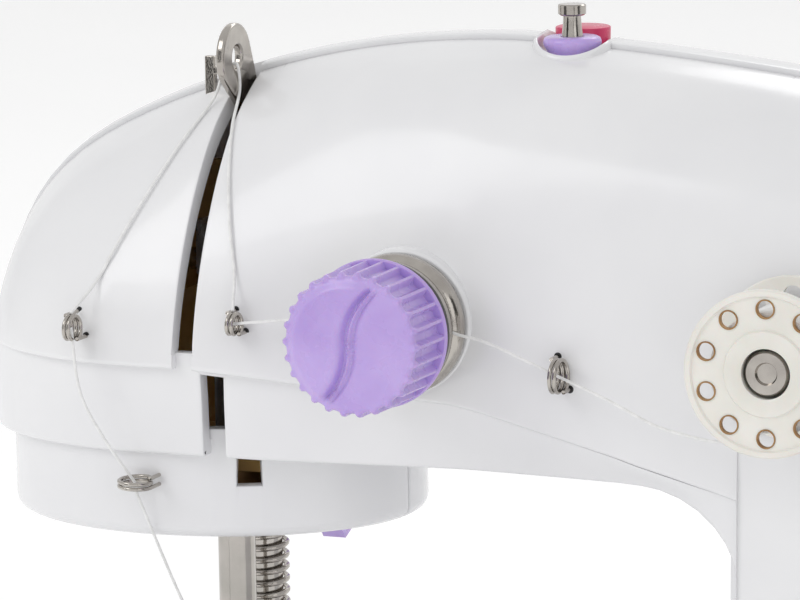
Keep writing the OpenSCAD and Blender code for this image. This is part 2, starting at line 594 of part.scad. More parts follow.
// A point just in front of the upper housing
function face_at(x, z, off) = let (n = bulge(x), t = (z - belly_z) / (top(x) - belly_z))
    [x, mid_y - half_depth(x) * pow(1 - pow(max(0, t), n), 1 / n) - off, z];
// Thread laid over the housing from p to q, touching it between
function over_face(p, q, shares) = concat([p],
    [for (t = shares) face_at(p[0] + t * (q[0] - p[0]), p[2] + t * (q[2] - p[2]), 0.45)], [q]);
module thread_feed() color(WHITE) tube([[14, -27, 137.4], [7.7, -26.4, 137], [0, -24.4, 139], guide_b,
    [-24, -23.3, 143.6], [-28, -23.6, 144.8], [-34, -23.55, 152], [-42, -23.6, 150], [-46, -23.3, 147.4],
    guide_a], thread_d, 8);
module thread_side() color(WHITE) tube([guide_d, [nx - 13, -22.6, 136], [nx - 10, -22.2, 130], guide_c],
    thread_d, 8);
module thread_to_lever() color(WHITE)
    tube(over_face(guide_a + [0, 0, 1.6], lever_eye + [1, -0.8, -0.8], [0.25, 0.5, 0.75]), thread_d, 8);
module thread_from_lever() color(WHITE)
    tube(over_face(lever_eye + [-1, -0.8, -0.8], guide_d + [0, 0, 1.8], [0.25, 0.5, 0.75]), thread_d, 8);
module thread_to_needle() color(WHITE) tube([guide_c + [0, 0, -1], [nx - 3, -14, 98], needle_eye], thread_d, 8);

// ---------- spool pin, switches, lamp ----------
socket_z = head_z + arm_rise - 1.7;
module spool_socket() color(PURPLE) translate([spool_x, mid_y - 3, 0]) difference() {
    union() {
        cylinder_at(socket_z - 12, 3, 12.1);
        cylinder_at(socket_z, 3.6, 1.6);
    }
    cylinder_at(socket_z - 10, 1.5, 20);
}
module spool_pin() color(NICKEL) translate([spool_x, mid_y - 3, 0]) {
    cylinder_at(socket_z - 9, 1.35, 9.01);
    cylinder_at(socket_z, 1.35, 4.8);
    cylinder_at(socket_z + 4.3, 1.8, 1.4);
}
module power_button() color(PINK) translate([button[0], button[1], 0]) {
    cylinder_at(socket_z - 7, 3, 7.1);
    cylinder_at(socket_z, 3.5, 2);
}
module lamp() color([0.95, 0.95, 0.9]) translate([head_cx - 12, mid_y, head_z]) {
    cylinder(r = 3.9, h = 2.1);
    cylinder_at(2, 4.8, 1.6);
}
module speed_switch() color(PURPLE) {
    box([38.5, -52, 37], [44.5, -49, 42]);
    box([33, -49.6, 34.5], [50, -46, 44.5]);
}

front_shell();
rear_shell();
base_shell();
bottom_cover();
rubber_feet();
battery_door();
battery_contacts();
drawer();
slide_cover();
needle_plate();
needle_plate_screws();
housing_screws();
chassis();
shaft_bushes();
main_shaft();
crank_disc();
handwheel();
shaft_pulleys();
motor();
motor_pulley();
drive_belt();
timing_belt();
lower_shaft();
lower_bushes();
hook();
bobbin_case();
lower_bobbin();
feed_carriage();
feed_dog();
take_up_lever();
needle_yoke();
needle_bar();
needle_bush();
needle_clamp();
needle_clamp_screw();
needle();
presser_bar();
presser_spring();
presser_foot();
presser_foot_screw();
presser_lifter();
tension_stud();
tension_discs();
tension_felt();
tension_knob();
thread_guides();
thread_hook();
front_spindle();
front_bobbin();
thread_winding();
thread_feed();
thread_side();
thread_to_lever();
thread_from_lever();
thread_to_needle();
spool_socket();
spool_pin();
power_button();
lamp();
speed_switch();
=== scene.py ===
"""Looks of the portable sewing machine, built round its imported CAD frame. Sizes are in millimetres."""

import math

import bmesh
import bpy
from mathutils import Matrix, Vector
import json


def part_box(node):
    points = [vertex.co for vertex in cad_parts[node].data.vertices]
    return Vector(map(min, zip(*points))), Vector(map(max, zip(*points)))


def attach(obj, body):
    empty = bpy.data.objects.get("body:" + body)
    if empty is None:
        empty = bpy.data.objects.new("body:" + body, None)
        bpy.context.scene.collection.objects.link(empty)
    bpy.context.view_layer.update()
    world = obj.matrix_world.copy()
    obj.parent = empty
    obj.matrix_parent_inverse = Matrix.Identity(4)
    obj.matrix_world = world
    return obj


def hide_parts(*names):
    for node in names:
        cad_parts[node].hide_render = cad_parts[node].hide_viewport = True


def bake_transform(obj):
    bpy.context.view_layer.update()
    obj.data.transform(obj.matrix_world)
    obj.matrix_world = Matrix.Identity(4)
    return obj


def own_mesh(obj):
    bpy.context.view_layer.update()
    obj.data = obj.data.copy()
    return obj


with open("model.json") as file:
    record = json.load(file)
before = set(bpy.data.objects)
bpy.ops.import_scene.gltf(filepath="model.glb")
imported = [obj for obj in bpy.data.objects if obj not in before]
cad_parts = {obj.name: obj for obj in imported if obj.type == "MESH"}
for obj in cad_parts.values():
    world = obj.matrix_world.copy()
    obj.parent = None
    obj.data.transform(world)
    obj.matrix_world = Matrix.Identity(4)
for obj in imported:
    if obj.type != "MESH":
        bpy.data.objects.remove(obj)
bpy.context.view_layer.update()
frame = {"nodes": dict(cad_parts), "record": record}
MM = 0.001


# ---------- places taken from the frame ----------

def corners(node):
    """Lowest and highest corner of a CAD node, in millimetres."""
    low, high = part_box(node)
    return low / MM, high / MM


def middle(node):
    """Middle of a CAD node's box, in millimetres."""
    low, high = corners(node)
    return (low + high) / 2


NX, NY = middle("needle_bar").xy
PRESSER = middle("presser_bar")
KNOB = middle("tension_stud")
BOBBIN = middle("front_bobbin")
SPOOL = middle("spool_pin")
HEAD_Z = corners("front_shell")[0].z + 57
HEAD_CX = NX - 6.5
TIER_A = 30.3
MID_Y = 6.0
SEAM_Y = 3.5
ARM_RISE = 63.3
ARM_HALF = 26.2
WALL = 2.0
LIP = 0.3                # rounding of the housings' edges and openings
BASE_Z = 60.0
SKIRT_A, SKIRT_B, SKIRT_H = 28.0, 23.2, 10.5
ARCH_X = -5.0
COLUMN_R = 13.5
COLUMN_X = ARCH_X + COLUMN_R
COLUMN_FLARE = 3.0
COLUMN_END = 80.0
END_R = 9.0
BELLY_Z = HEAD_Z + 22
SPOOL_FOOT = HEAD_Z + ARM_RISE - 1.7
BUTTON = middle("power_button")


# ---------- camera ----------

def aim_camera():
    """Camera to the right of the front, a little above, turned one degree."""
    azimuth, elevation, roll = (math.radians(a) for a in (22.5, 9.5, 1.0))
    away = Vector((-math.sin(azimuth) * math.cos(elevation), math.cos(azimuth) * math.cos(elevation),
                   -math.sin(elevation)))
    right = Vector((math.cos(azimuth), math.sin(azimuth), 0))
    up = right.cross(away)
    level, rise = math.cos(roll) * right - math.sin(roll) * up, math.sin(roll) * right + math.cos(roll) * up
    target = Vector((NX + 28.6, NY - 12, HEAD_Z + 31.7))
    place = (target - 625 * away) * MM
    data = bpy.data.cameras.new("camera")
    data.lens = 225
    data.sensor_width = 36
    camera = bpy.data.objects.new("camera", data)
    bpy.context.collection.objects.link(camera)
    camera.matrix_world = Matrix((
        (level.x, rise.x, -away.x, place.x), (level.y, rise.y, -away.y, place.y),
        (level.z, rise.z, -away.z, place.z), (0, 0, 0, 1)))
    bpy.context.scene.camera = camera


aim_camera()


# ---------- materials ----------

def new_material(name):
    """A material with its node tree and shader."""
    made = bpy.data.materials.new(name)
    made.use_nodes = True
    return made, made.node_tree, made.node_tree.nodes["Principled BSDF"]


def noise(tree, scale, detail=2.0):
    """Noise in the object's own space, features about 1/scale metres wide."""
    place = tree.nodes.new("ShaderNodeTexCoord").outputs["Object"]
    cloud = tree.nodes.new("ShaderNodeTexNoise")
    cloud.inputs["Scale"].default_value = scale
    cloud.inputs["Detail"].default_value = detail
    tree.links.new(place, cloud.inputs["Vector"])
    return cloud.outputs["Fac"]


NOISE_LOW, NOISE_HIGH = 0.35, 0.65     # most of the noise lies between these


def spread(tree, value, low, high):
    """Noise stretched to run from low to high."""
    stretched = tree.nodes.new("ShaderNodeMapRange")
    for name, number in (("From Min", NOISE_LOW), ("From Max", NOISE_HIGH),
                         ("To Min", low), ("To Max", high)):
        stretched.inputs[name].default_value = number
    tree.links.new(value, stretched.inputs["Value"])
    return stretched.outputs["Result"]


def blend_colours(tree, value, dark, light):
    """Colour between dark and light as the noise goes."""
    ramp = tree.nodes.new("ShaderNodeValToRGB")
    ramp.color_ramp.elements[0].position = NOISE_LOW
    ramp.color_ramp.elements[0].color = (*dark, 1)
    ramp.color_ramp.elements[1].position = NOISE_HIGH
    ramp.color_ramp.elements[1].color = (*light, 1)
    tree.links.new(value, ramp.inputs["Fac"])
    return ramp.outputs["Color"]


def finish_of(name, dark, light, rough, size, grain, bump, **fixed):
    """A surface whose colour drifts from dark to light over patches of that size, with a fine grain.

    rough is the lowest and highest roughness, grain and size are in millimetres, bump is the grain's
    strength, and fixed sets the shader's other sockets."""
    made, tree, shader = new_material(name)
    tree.links.new(blend_colours(tree, noise(tree, 1 / (size * MM), 3), dark, light),
                   shader.inputs["Base Color"])
    tree.links.new(spread(tree, noise(tree, 1.6 / (size * MM), 4), *rough),
                   shader.inputs["Roughness"])
    relief = tree.nodes.new("ShaderNodeBump")
    relief.inputs["Strength"].default_value = bump
    relief.inputs["Distance"].default_value = 0.2 * MM
    tree.links.new(noise(tree, 1 / (grain * MM)), relief.inputs["Height"])
    tree.links.new(relief.outputs["Normal"], shader.inputs["Normal"])
    for socket, value in fixed.items():
        shader.inputs[socket.replace("_", " ")].default_value = value
    return made


WHITE = finish_of("white_plastic", (0.80, 0.80, 0.815), (0.84, 0.84, 0.85), (0.17, 0.24), 22, 0.9, 0.02,
                  Coat_Weight=0.25, Coat_Roughness=0.08)
SATIN = finish_of("satin_white_plastic", (0.76, 0.76, 0.77), (0.81, 0.81, 0.82), (0.34, 0.44), 16, 0.35, 0.08)
PURPLE = finish_of("purple_plastic", (0.49, 0.35, 0.75), (0.54, 0.40, 0.79), (0.24, 0.32), 5, 0.3, 0.02,
                   Subsurface_Weight=0.15, Subsurface_Scale=0.6 * MM, Coat_Weight=0.2, Coat_Roughness=0.15)
PINK = finish_of("pink_plastic", (0.62, 0.03, 0.11), (0.70, 0.045, 0.15), (0.25, 0.34), 4, 0.3, 0.04)
NICKEL = finish_of("nickel_plate", (0.42, 0.39, 0.36), (0.52, 0.49, 0.45), (0.11, 0.2), 3, 0.25, 0.05,
                   Metallic=1.0)
TURNED = finish_of("turned_nickel", (0.42, 0.40, 0.37), (0.50, 0.47, 0.44), (0.1, 0.16), 5, 0.4, 0.03,
                   Metallic=1.0)
STEEL = finish_of("bright_steel", (0.50, 0.49, 0.48), (0.62, 0.61, 0.60), (0.2, 0.34), 6, 0.3, 0.05,
                  Metallic=1.0)
ZINC = finish_of("motor_zinc", (0.36, 0.37, 0.38), (0.46, 0.47, 0.48), (0.3, 0.42), 7, 0.4, 0.08,
                 Metallic=1.0)
CHROMATE = finish_of("gold_chromate", (0.66, 0.38, 0.11), (0.82, 0.52, 0.2), (0.35, 0.5), 6, 0.5, 0.08,
                     Metallic=0.1)
BRONZE = finish_of("sintered_bronze", (0.36, 0.2, 0.09), (0.46, 0.28, 0.13), (0.4, 0.55), 3, 0.2, 0.15,
                   Metallic=1.0)
BLACK = finish_of("black_plastic", (0.012, 0.012, 0.013), (0.022, 0.022, 0.024), (0.4, 0.5), 8, 0.4, 0.1)
BELT = finish_of("belt_rubber", (0.011, 0.011, 0.011), (0.02, 0.02, 0.02), (0.6, 0.75), 5, 0.3, 0.2)
FOOT = finish_of("foot_rubber", (0.02, 0.02, 0.021), (0.034, 0.034, 0.035), (0.65, 0.8), 6, 0.3, 0.2)
FELT = finish_of("black_felt", (0.006, 0.005, 0.005), (0.016, 0.014, 0.014), (0.85, 0.95), 1.5, 0.12, 0.6,
                 Sheen_Weight=0.3)
CREAM = finish_of("cream_plastic", (0.78, 0.76, 0.70), (0.84, 0.82, 0.77), (0.28, 0.38), 6, 0.3, 0.06,
                  Subsurface_Weight=0.1, Subsurface_Scale=0.6 * MM)
LENS = finish_of("frosted_lens", (0.82, 0.82, 0.78), (0.9, 0.9, 0.86), (0.3, 0.4), 3, 0.2, 0.1,
                 Transmission_Weight=0.5, IOR=1.49)


def thread_material(name, dark, light):
    """Twisted two-ply thread: slanting plies as relief, and a soft sheen."""
    made, tree, shader = new_material(name)
    tree.links.new(blend_colours(tree, noise(tree, 900, 3), dark, light), shader.inputs["Base Color"])
    tree.links.new(spread(tree, noise(tree, 1500), 0.6, 0.8), shader.inputs["Roughness"])
    ply = tree.nodes.new("ShaderNodeTexWave")
    ply.bands_direction = "DIAGONAL"
    ply.inputs["Scale"].default_value = 700
    tree.links.new(tree.nodes.new("ShaderNodeTexCoord").outputs["Object"], ply.inputs["Vector"])
    relief = tree.nodes.new("ShaderNodeBump")
    relief.inputs["Strength"].default_value = 0.5
    relief.inputs["Distance"].default_value = 0.05 * MM
    tree.links.new(ply.outputs["Fac"], relief.inputs["Height"])
    tree.links.new(relief.outputs["Normal"], shader.inputs["Normal"])
    shader.inputs["Sheen Weight"].default_value = 0.4
    return made


THREAD = thread_material("white_thread", (0.78, 0.78, 0.77), (0.88, 0.88, 0.87))


# ---------- mesh helpers ----------

WELD = 0.004                 # points closer than this are one
SHARP = math.radians(40)     # edges sharper than this stay crisp
TINY = 0.0005                # radius that stands for a point on a turned solid's axis


def piece(name, verts, faces, material, body, slot, nodes=()):
    """A mesh piece from points in millimetres, riding on a body and standing for CAD nodes."""
    mesh = bpy.data.meshes.new(name)
    mesh.from_pydata([(x * MM, y * MM, z * MM) for x, y, z in verts], [], faces)
    mesh.validate()
    made = bpy.data.objects.new(name, mesh)
    bpy.context.collection.objects.link(made)
    mesh.materials.append(material)
    clean(made)
    smooth(made)
    return placed(made, body, nodes)


def placed(made, body, nodes=()):
    """Ties a piece to its body and the CAD nodes it stands for."""
    if body:
        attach(made, body)
    if nodes:
        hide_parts(*nodes)
    return made


def clean(made):
    """Welds points that meet and turns every face outward."""
    work = bmesh.new()
    work.from_mesh(made.data)
    bmesh.ops.remove_doubles(work, verts=work.verts, dist=WELD * MM)
    bmesh.ops.dissolve_degenerate(work, edges=work.edges, dist=WELD / 4 * MM)
    bmesh.ops.recalc_face_normals(work, faces=work.faces)
    work.to_mesh(made.data)
    work.free()


def smooth(made):
    """Smooth shading that stays crisp at sharp edges and follows the large faces."""
    work = bmesh.new()
    work.from_mesh(made.data)
    for face in work.faces:
        face.smooth = True
    for edge in work.edges:
        edge.smooth = edge.calc_face_angle(0) < SHARP
    work.to_mesh(made.data)
    work.free()
    weighted = made.modifiers.new("weighted", "WEIGHTED_NORMAL")
    weighted.keep_sharp = True


def cut(verts, faces, *cutters):
    """Cuts solids out of one closed solid; each is (points, faces) in millimetres."""
    def temporary(points, sides):
        mesh = bpy.data.meshes.new("solid")
        mesh.from_pydata([(x * MM, y * MM, z * MM) for x, y, z in points], [], sides)
        made = bpy.data.objects.new("solid", mesh)
        bpy.context.collection.objects.link(made)
        clean(made)
        return made

    body = temporary(verts, faces)
    tools = [temporary(*cutter) for cutter in cutters]
    for tool in tools:
        modifier = body.modifiers.new("cut", "BOOLEAN")
        modifier.operation = "DIFFERENCE"
        modifier.solver = "MANIFOLD"
        modifier.object = tool
    bpy.context.view_layer.update()
    mesh = bpy.data.meshes.new_from_object(body.evaluated_get(bpy.context.evaluated_depsgraph_get()))
    made = [tuple(v.co / MM) for v in mesh.vertices], [tuple(f.vertices) for f in mesh.polygons]
    for thing in (body, *tools):
        bpy.data.objects.remove(thing)
    return made


def bevel(made, width, segments):
    """Rounds a piece's sharp edges, width in millimetres."""
    edge = made.modifiers.new("bevel", "BEVEL")
    edge.width = width * MM
    edge.segments = segments
    edge.limit_method = "ANGLE"
    edge.angle_limit = SHARP


def grid(rows, closed=False):
    """Quads between rows of points; closed joins each row's end to its start."""
    wide = len(rows[0])
    across = wide if closed else wide - 1
    faces = [(i * wide + j, i * wide + (j + 1) % wide, (i + 1) * wide + (j + 1) % wide, (i + 1) * wide + j)
             for i in range(len(rows) - 1) for j in range(across)]
    return [p for row in rows for p in row], faces


def axes(along):
    """Two directions square to along, the second upward where it can be."""
    along = Vector(along).normalized()
    up = Vector((0, 0, 1)) if abs(along.z) < 0.9 else Vector((0, 1, 0))
    side = up.cross(along).normalized()
    return side, along.cross(side), along


def lathe(profile, centre, along, sides=96):
    """Turned solid: profile lists (radius, distance), and a radius of 0 closes an end."""
    side, up, along = axes(along)
    centre = Vector(centre)
    rows = [[tuple(centre + along * h + max(r, TINY) * (math.cos(a) * side + math.sin(a) * up))
             for a in (2 * math.pi * k / sides for k in range(sides))] for r, h in profile]
    verts, faces = grid(rows, closed=True)
    for row in (0, len(rows) - 1):
        if profile[row][0] == 0:
            faces.append(tuple(row * sides + k for k in range(sides)))
    if profile[0][0] and profile[0] != profile[-1]:
        last = (len(rows) - 1) * sides
        faces += [(k, (k + 1) % sides, last + (k + 1) % sides, last + k) for k in range(sides)]
    return verts, faces


def rounded(points, radius=0.3, steps=4):
    """A profile with each inner corner rounded by an arc-like curve."""
    made = [points[0]]
    for before, here, after in zip(points, points[1:], points[2:]):
        here = Vector(here)
        to_before, to_after = Vector(before) - here, Vector(after) - here
        reach = min(radius, to_before.length * 0.45, to_after.length * 0.45)
        start, end = here + to_before.normalized() * reach, here + to_after.normalized() * reach
        for k in range(steps + 1):
            t = k / steps
            made.append(tuple((1 - t) ** 2 * start + 2 * t * (1 - t) * here + t * t * end))
    return made + [points[-1]]


def tube(path, radius, sides=10):
    """Round tube along a path of points, with closed ends."""
    path = [Vector(p) for p in path]
    rows = []
    side = None
    for i, point in enumerate(path):
        along = (path[min(i + 1, len(path) - 1)] - path[max(i - 1, 0)]).normalized()
        side = (side - side.dot(along) * along).normalized() if side else axes(along)[0]
        up = along.cross(side)
        rows.append([tuple(point + radius * (math.cos(a) * side + math.sin(a) * up))
                     for a in (2 * math.pi * k / sides for k in range(sides))])
    verts, faces = grid(rows, closed=True)
    faces.append(tuple(range(sides)))
    faces.append(tuple(len(verts) - 1 - k for k in range(sides)))
    return verts, faces


def curved(points, per=8):
    """Points along one smooth curve through the given points."""
    points = [Vector(p) for p in points]
    ends = [2 * points[0] - points[1], *points, 2 * points[-1] - points[-2]]
    made = []
    for a, b, c, d in zip(ends, ends[1:], ends[2:], ends[3:]):
        for k in range(per):
            t = k / per
            made.append(0.5 * (2 * b + (c - a) * t + (2 * a - 5 * b + 4 * c - d) * t * t
                               + (3 * b - a - 3 * c + d) * t ** 3))
    return made + [points[-1]]


def joined(*solids):
    """One list of points and faces from several."""
    verts, faces = [], []
    for more, sides in solids:
        faces += [tuple(k + len(verts) for k in face) for face in sides]
        verts += list(more)
    return verts, faces


def block(low, high):
    """Box between two corners."""
    (a, b, c), (d, e, f) = low, high
    verts = [(x, y, z) for x in (a, d) for y in (b, e) for z in (c, f)]
    return verts, [(0, 1, 3, 2), (4, 6, 7, 5), (0, 4, 5, 1), (2, 3, 7, 6), (0, 2, 6, 4), (1, 5, 7, 3)]


def rod(centre, along, radius, length, sides=48):
    """Plain cylinder that starts at centre and runs along a direction."""
    return lathe([(0, 0), (radius, 0), (radius, length), (0, length)], centre, along, sides)


def thicken(verts, faces):
    """Gives an open surface its wall, with a rounded lip round every edge and opening."""
    work = bmesh.new()
    points = [work.verts.new(Vector(p)) for p in verts]
    for face in faces:
        try:
            work.faces.new([points[k] for k in face])
        except ValueError:
            continue
    bmesh.ops.remove_doubles(work, verts=work.verts, dist=WELD)
    bmesh.ops.dissolve_degenerate(work, edges=work.edges, dist=WELD / 4)
    loose = [v for v in work.verts if not v.link_faces]
    bmesh.ops.delete(work, geom=loose, context="VERTS")
    bmesh.ops.recalc_face_normals(work, faces=work.faces)
    heart = sum((v.co for v in work.verts), Vector()) / len(work.verts)
    if sum(f.calc_area() * f.normal.dot(f.calc_center_median() - heart) for f in work.faces) < 0:
        bmesh.ops.reverse_faces(work, faces=work.faces)
    work.normal_update()
    outer = list(work.verts)
    outer_faces = list(work.faces)
    inner = {v: work.verts.new(v.co - WALL * v.normal) for v in outer}
    rim = {}
    for v in outer:
        open_edges = [e for e in v.link_edges if e.is_boundary]
        if not open_edges:
            continue
        out = Vector()
        for e in open_edges:
            face = e.link_faces[0]
            across = (e.verts[1].co - e.verts[0].co).cross(face.normal).normalized()
            middle_of = (e.verts[0].co + e.verts[1].co) / 2
            out += across if across.dot(middle_of - face.calc_center_median()) > 0 else -across
        out = out.normalized() * LIP if out.length > 1e-6 else Vector()
        deep = v.normal * LIP
        rim[v] = [work.verts.new(v.co + 0.7 * out - 0.3 * deep), work.verts.new(v.co + out - deep),
                  work.verts.new(v.co + out - v.normal * WALL)]
    strips = [(e.verts[0], e.verts[1]) for e in list(work.edges) if e.is_boundary and e.verts[0] in rim]
    for face in outer_faces:
        work.faces.new([inner[v] for v in reversed(face.verts)])
    for a, b in strips:
        chain_a, chain_b = [a, *rim[a], inner[a]], [b, *rim[b], inner[b]]
        for k in range(4):
            work.faces.new((chain_a[k], chain_b[k], chain_b[k + 1], chain_a[k + 1]))
    bmesh.ops.recalc_face_normals(work, faces=work.faces)
    work.verts.index_update()
    made = [tuple(v.co) for v in work.verts], [tuple(v.index for v in f.verts) for f in work.faces]
    work.free()
    return made


# ---------- housing ----------

# These functions give the head's and arm's outline at any x, as in the CAD.

def from_needle(x):
    return max(0.0, x - NX)


def crest(x):
    u = x - NX - 36
    return HEAD_Z + ARM_RISE - (0.00255 * (-u) ** 2.12 if u < 0 else 0.0149 * u ** 1.5)


def round_left(x):
    return min(1.0, max(0.0, (HEAD_CX - x) / TIER_A))


def round_right(x):
    t = max(0.0, (x - COLUMN_END + END_R) / END_R)
    return END_R * (1 - math.sqrt(1 - min(1, t) ** 2))


def half_depth(x):
    return (ARM_HALF + max(0, x - ARCH_X) * 0.02) * math.sqrt(1 - round_left(x) ** 2) - round_right(x)


def top(x):
    return BELLY_Z + (crest(x) - round_right(x) - BELLY_Z) * math.sqrt(1 - round_left(x) ** 6)


def crease(x):
    return HEAD_Z + 22 - 0.07 * from_needle(x) - 0.19 * max(0, x - NX - 38)


def arch(x):
    u = min(max(0, x - ARCH_X), COLUMN_R)
    return HEAD_Z + SKIRT_H - COLUMN_R + math.sqrt(COLUMN_R ** 2 - u ** 2)


def bulge(x):
    return 1.56 + 0.54 * min(1, from_needle(x) / 36)


TIER_STEP = 1.4
SLOT_1 = (NX - 1.2, NX + 1.5, HEAD_Z + 24)       # left, right, bottom
SLOT_2 = (NX + 2.2, NX + 5.2, HEAD_Z + 13.5)
SLOT_3 = (NX + 5.3, NX + 8.1, HEAD_Z + 6.3)


def profile(x, side, seam):
    """Half section at x, from the seam over the shoulder and the tiers to the underside.

    side is 1 for the front half and -1 for the rear; seam is the distance of its edge in front of the
    middle plane. Returns points as (distance from the middle plane, height), the number of the last
    point above the slot's bottom, and that of the first one under the ledge."""
    b = max(0.2, half_depth(x))
    h = max(0.3, top(x) - BELLY_Z)
    e = 2 / bulge(x)
    low = BASE_Z + 0.2 if x > COLUMN_X + 0.01 else arch(x)
    c = max(crease(x), low + 1.2) if x <= COLUMN_X + 0.01 else low + 1.2
    k = min(1, b / ARM_HALF)
    along_arm = min(1, max(0, (x - NX - 12) / 24))
    s = min(TIER_STEP, (c - low) / 4) * k * (1 - 0.6 * along_arm)
    lean = k * (0.4 + 0.35 * (c - low) * along_arm * min(1, max(0, (COLUMN_X - x) / COLUMN_R)))
    foot = b + (COLUMN_FLARE * (BELLY_Z - low) / (BELLY_Z - BASE_Z) if x > ARCH_X else 0)
    start = math.acos(min(1, (seam / b) ** (1 / e))) if side > 0 else math.pi / 2
    notch = math.asin(min(1, ((SLOT_1[2] - LIP - BELLY_Z) / h) ** (1 / e)))
    points = []
    if side < 0:
        first = math.acos(min(1, (seam / b) ** (1 / e)))
        points += [(-b * max(0, math.cos(first + (math.pi / 2 - first) * t)) ** e,
                    BELLY_Z + h * math.sin(first + (math.pi / 2 - first) * t) ** e) for t in (0, 0.3, 0.65)]
    top_rows = 26
    for i in range(top_rows):
        a = start + (notch - start) * i / (top_rows - 1)
        u, z = b * max(0, math.cos(a)) ** e, BELLY_Z + h * math.sin(a) ** e
        if side > 0:
            z -= 0.65 * max(0, 1 - max(0, u - 7) / 6) * min(1, b / 12) * min(1, h / 12)
        points.append((u, z))
    slot_bottom = len(points) - 1
    edge = c + 0.55
    z_notch = points[-1][1]
    for share in (0.2, 0.4, 0.6, 0.8, 1):
        z = z_notch + (edge - z_notch) * share
        if z > BELLY_Z:
            points.append((b * math.cos(math.asin(((z - BELLY_Z) / h) ** (1 / e))) ** e, z))
        else:
            points.append((b + (foot - b) * (BELLY_Z - z) / (BELLY_Z - edge), z))
    points += [(foot - 0.08 * k, c + 0.25), (foot - 0.28 * k, c + 0.06), (foot - 0.6 * k, c)]
    ledge = len(points)
    inset = foot - s
    points += [(inset, c - 0.02 * k), (inset - 0.02, c - 0.35)]
    wall_bottom = low + 0.6
    for share in (0.35, 0.7, 1):
        points.append((inset - lean * share, c - 0.35 + (wall_bottom - c + 0.35) * share))
    inset -= lean
    points += [(inset - 0.08 * k, low + 0.28), (inset - 0.28 * k, low + 0.07), (inset - 0.6 * k, low)]
    end = seam if side > 0 else -seam
    last = points[-1][0]
    points += [(last + (end - last) * share, low) for share in (0.35, 0.7, 1)]
    return points, slot_bottom, ledge


def stations():
    """Places along X, close together where the outline turns and at the slots' edges."""
    head_angles = (6, 8, 11, 15, 19, 24, 29, 35, 41, 48, 55, 62, 69, 76, 83)
    xs = [HEAD_CX - TIER_A * math.cos(math.radians(a)) for a in head_angles]
    for left, right, _ in (SLOT_1, SLOT_2):
        xs += [left - LIP, left - 0.1, left, left + 0.02, right - 0.02, right, right + 0.1, right + LIP]
    xs += [NX - 5, NX - 3, NX + 7.5]
    xs += [NX + 10 + 3 * k for k in range(17)]
    xs += [ARCH_X + COLUMN_R * math.sin(math.radians(a)) for a in (2, 12, 24, 36, 48, 58, 67, 75, 82, 87, 90)]
    xs += [COLUMN_X + 0.03, COLUMN_X + 1.5, COLUMN_X + 5]
    xs += [18 + 5 * k for k in range(11)]
    xs += [COLUMN_END - END_R + END_R * math.sin(math.radians(a)) for a in (8, 24, 40, 54, 66, 76, 84, 90)]
    return sorted(xs)


def in_groove(x):
    """Whether x lies inside the lever's slot."""
    left, right, _ = SLOT_1
    return left + 0.01 < x < right - 0.01


def housing_half(side):
    """Outer surface of the front (1) or rear (-1) housing: points and faces."""
    gap = 0.05 + LIP
    seam = MID_Y - SEAM_Y + (gap if side > 0 else -gap)
    xs = [x for x in stations() if half_depth(x) > seam + 0.02]
    rows = []
    for x in xs:
        points, slot_bottom, ledge = profile(x, side, seam)
        if side > 0 and in_groove(x):
            deep = points[ledge][0]
            points = points[:slot_bottom] + [(deep, z) for _, z in points[slot_bottom:ledge]] + points[ledge:]
        rows.append([(x, MID_Y - side * u, z) for u, z in points])
    verts, faces = grid(rows)
    wide = len(rows[0])

    def gone(face):
        i, j = face[0] // wide, face[0] % wide
        a, b = xs[i], xs[i + 1]
        if side < 0:
            return False
        if j < slot_bottom and a > SLOT_1[0] - LIP - 0.01 and b < SLOT_1[1] + LIP + 0.01:
            return True
        return j >= ledge + 1 and a > SLOT_2[0] - LIP - 0.01 and b < SLOT_2[1] + LIP + 0.01

    faces = [f for f in faces if not gone(f)]
    faces.append(tuple((len(xs) - 1) * wide + j for j in range(wide)))
    return verts, faces


def skirt_half(side):
    """Round skirt under the head: floor, rounded lower edge and wall of one half."""
    limit = SEAM_Y - 0.35 if side > 0 else SEAM_Y + 0.35
    marks = [x for left, right, _ in (SLOT_2, SLOT_3) for x in (left - LIP, left, right, right + LIP)]
    turns = sorted({math.acos((x - HEAD_CX) / SKIRT_A) for x in marks}
                   | {math.pi * k / 40 for k in range(-2, 43)})
    if side > 0:
        turns = [-t for t in turns]
    edge_r = 1.6
    levels = [(SKIRT_A - edge_r + edge_r * math.sin(a), SKIRT_B - edge_r + edge_r * math.sin(a),
               HEAD_Z - 0.6 + edge_r * (1 - math.cos(a))) for a in (0, 0.4, 0.8, 1.2, math.pi / 2)]
    levels += [(SKIRT_A, SKIRT_B, HEAD_Z + z) for z in (4, SLOT_3[2] - HEAD_Z - LIP, 9, 11.6, 13.5)]
    rows = []
    for a, b, z in levels:
        row = []
        for t in turns:
            y = MID_Y + b * math.sin(t)
            y = min(y, limit) if side > 0 else max(y, limit)
            x = HEAD_CX + a * math.copysign(math.sqrt(max(0, 1 - ((y - MID_Y) / b) ** 2)), math.cos(t))
            row.append((x, y, z))
        rows.append(row)
    verts, faces = grid(rows)
    wide = len(turns)

    def gone(face):
        i, j = face[0] // wide, face[0] % wide
        low, high = sorted((rows[-1][j][0], rows[-1][j + 1][0]))
        over_tongue = low > SLOT_2[0] - 1 and high < SLOT_2[1] + 1 and side > 0
        if i == len(rows) - 2 and not over_tongue:
            return True
        return side > 0 and i >= 6 and low > SLOT_3[0] - LIP - 0.01 and high < SLOT_3[1] + LIP + 0.01

    faces = [f for f in faces if not gone(f)]
    faces.append(tuple(range(wide)))
    return thicken(verts, faces)


def boss(centre, radius, height, y):
    """Moulded seat round a part on the front face."""
    return lathe(rounded([(radius - 2.4, -4), (radius + 0.4, -4), (radius + 0.2, 0), (radius, height),
                          (radius - 2.4, height)], 0.5), (centre.x, y, centre.z), (0, -1, 0))


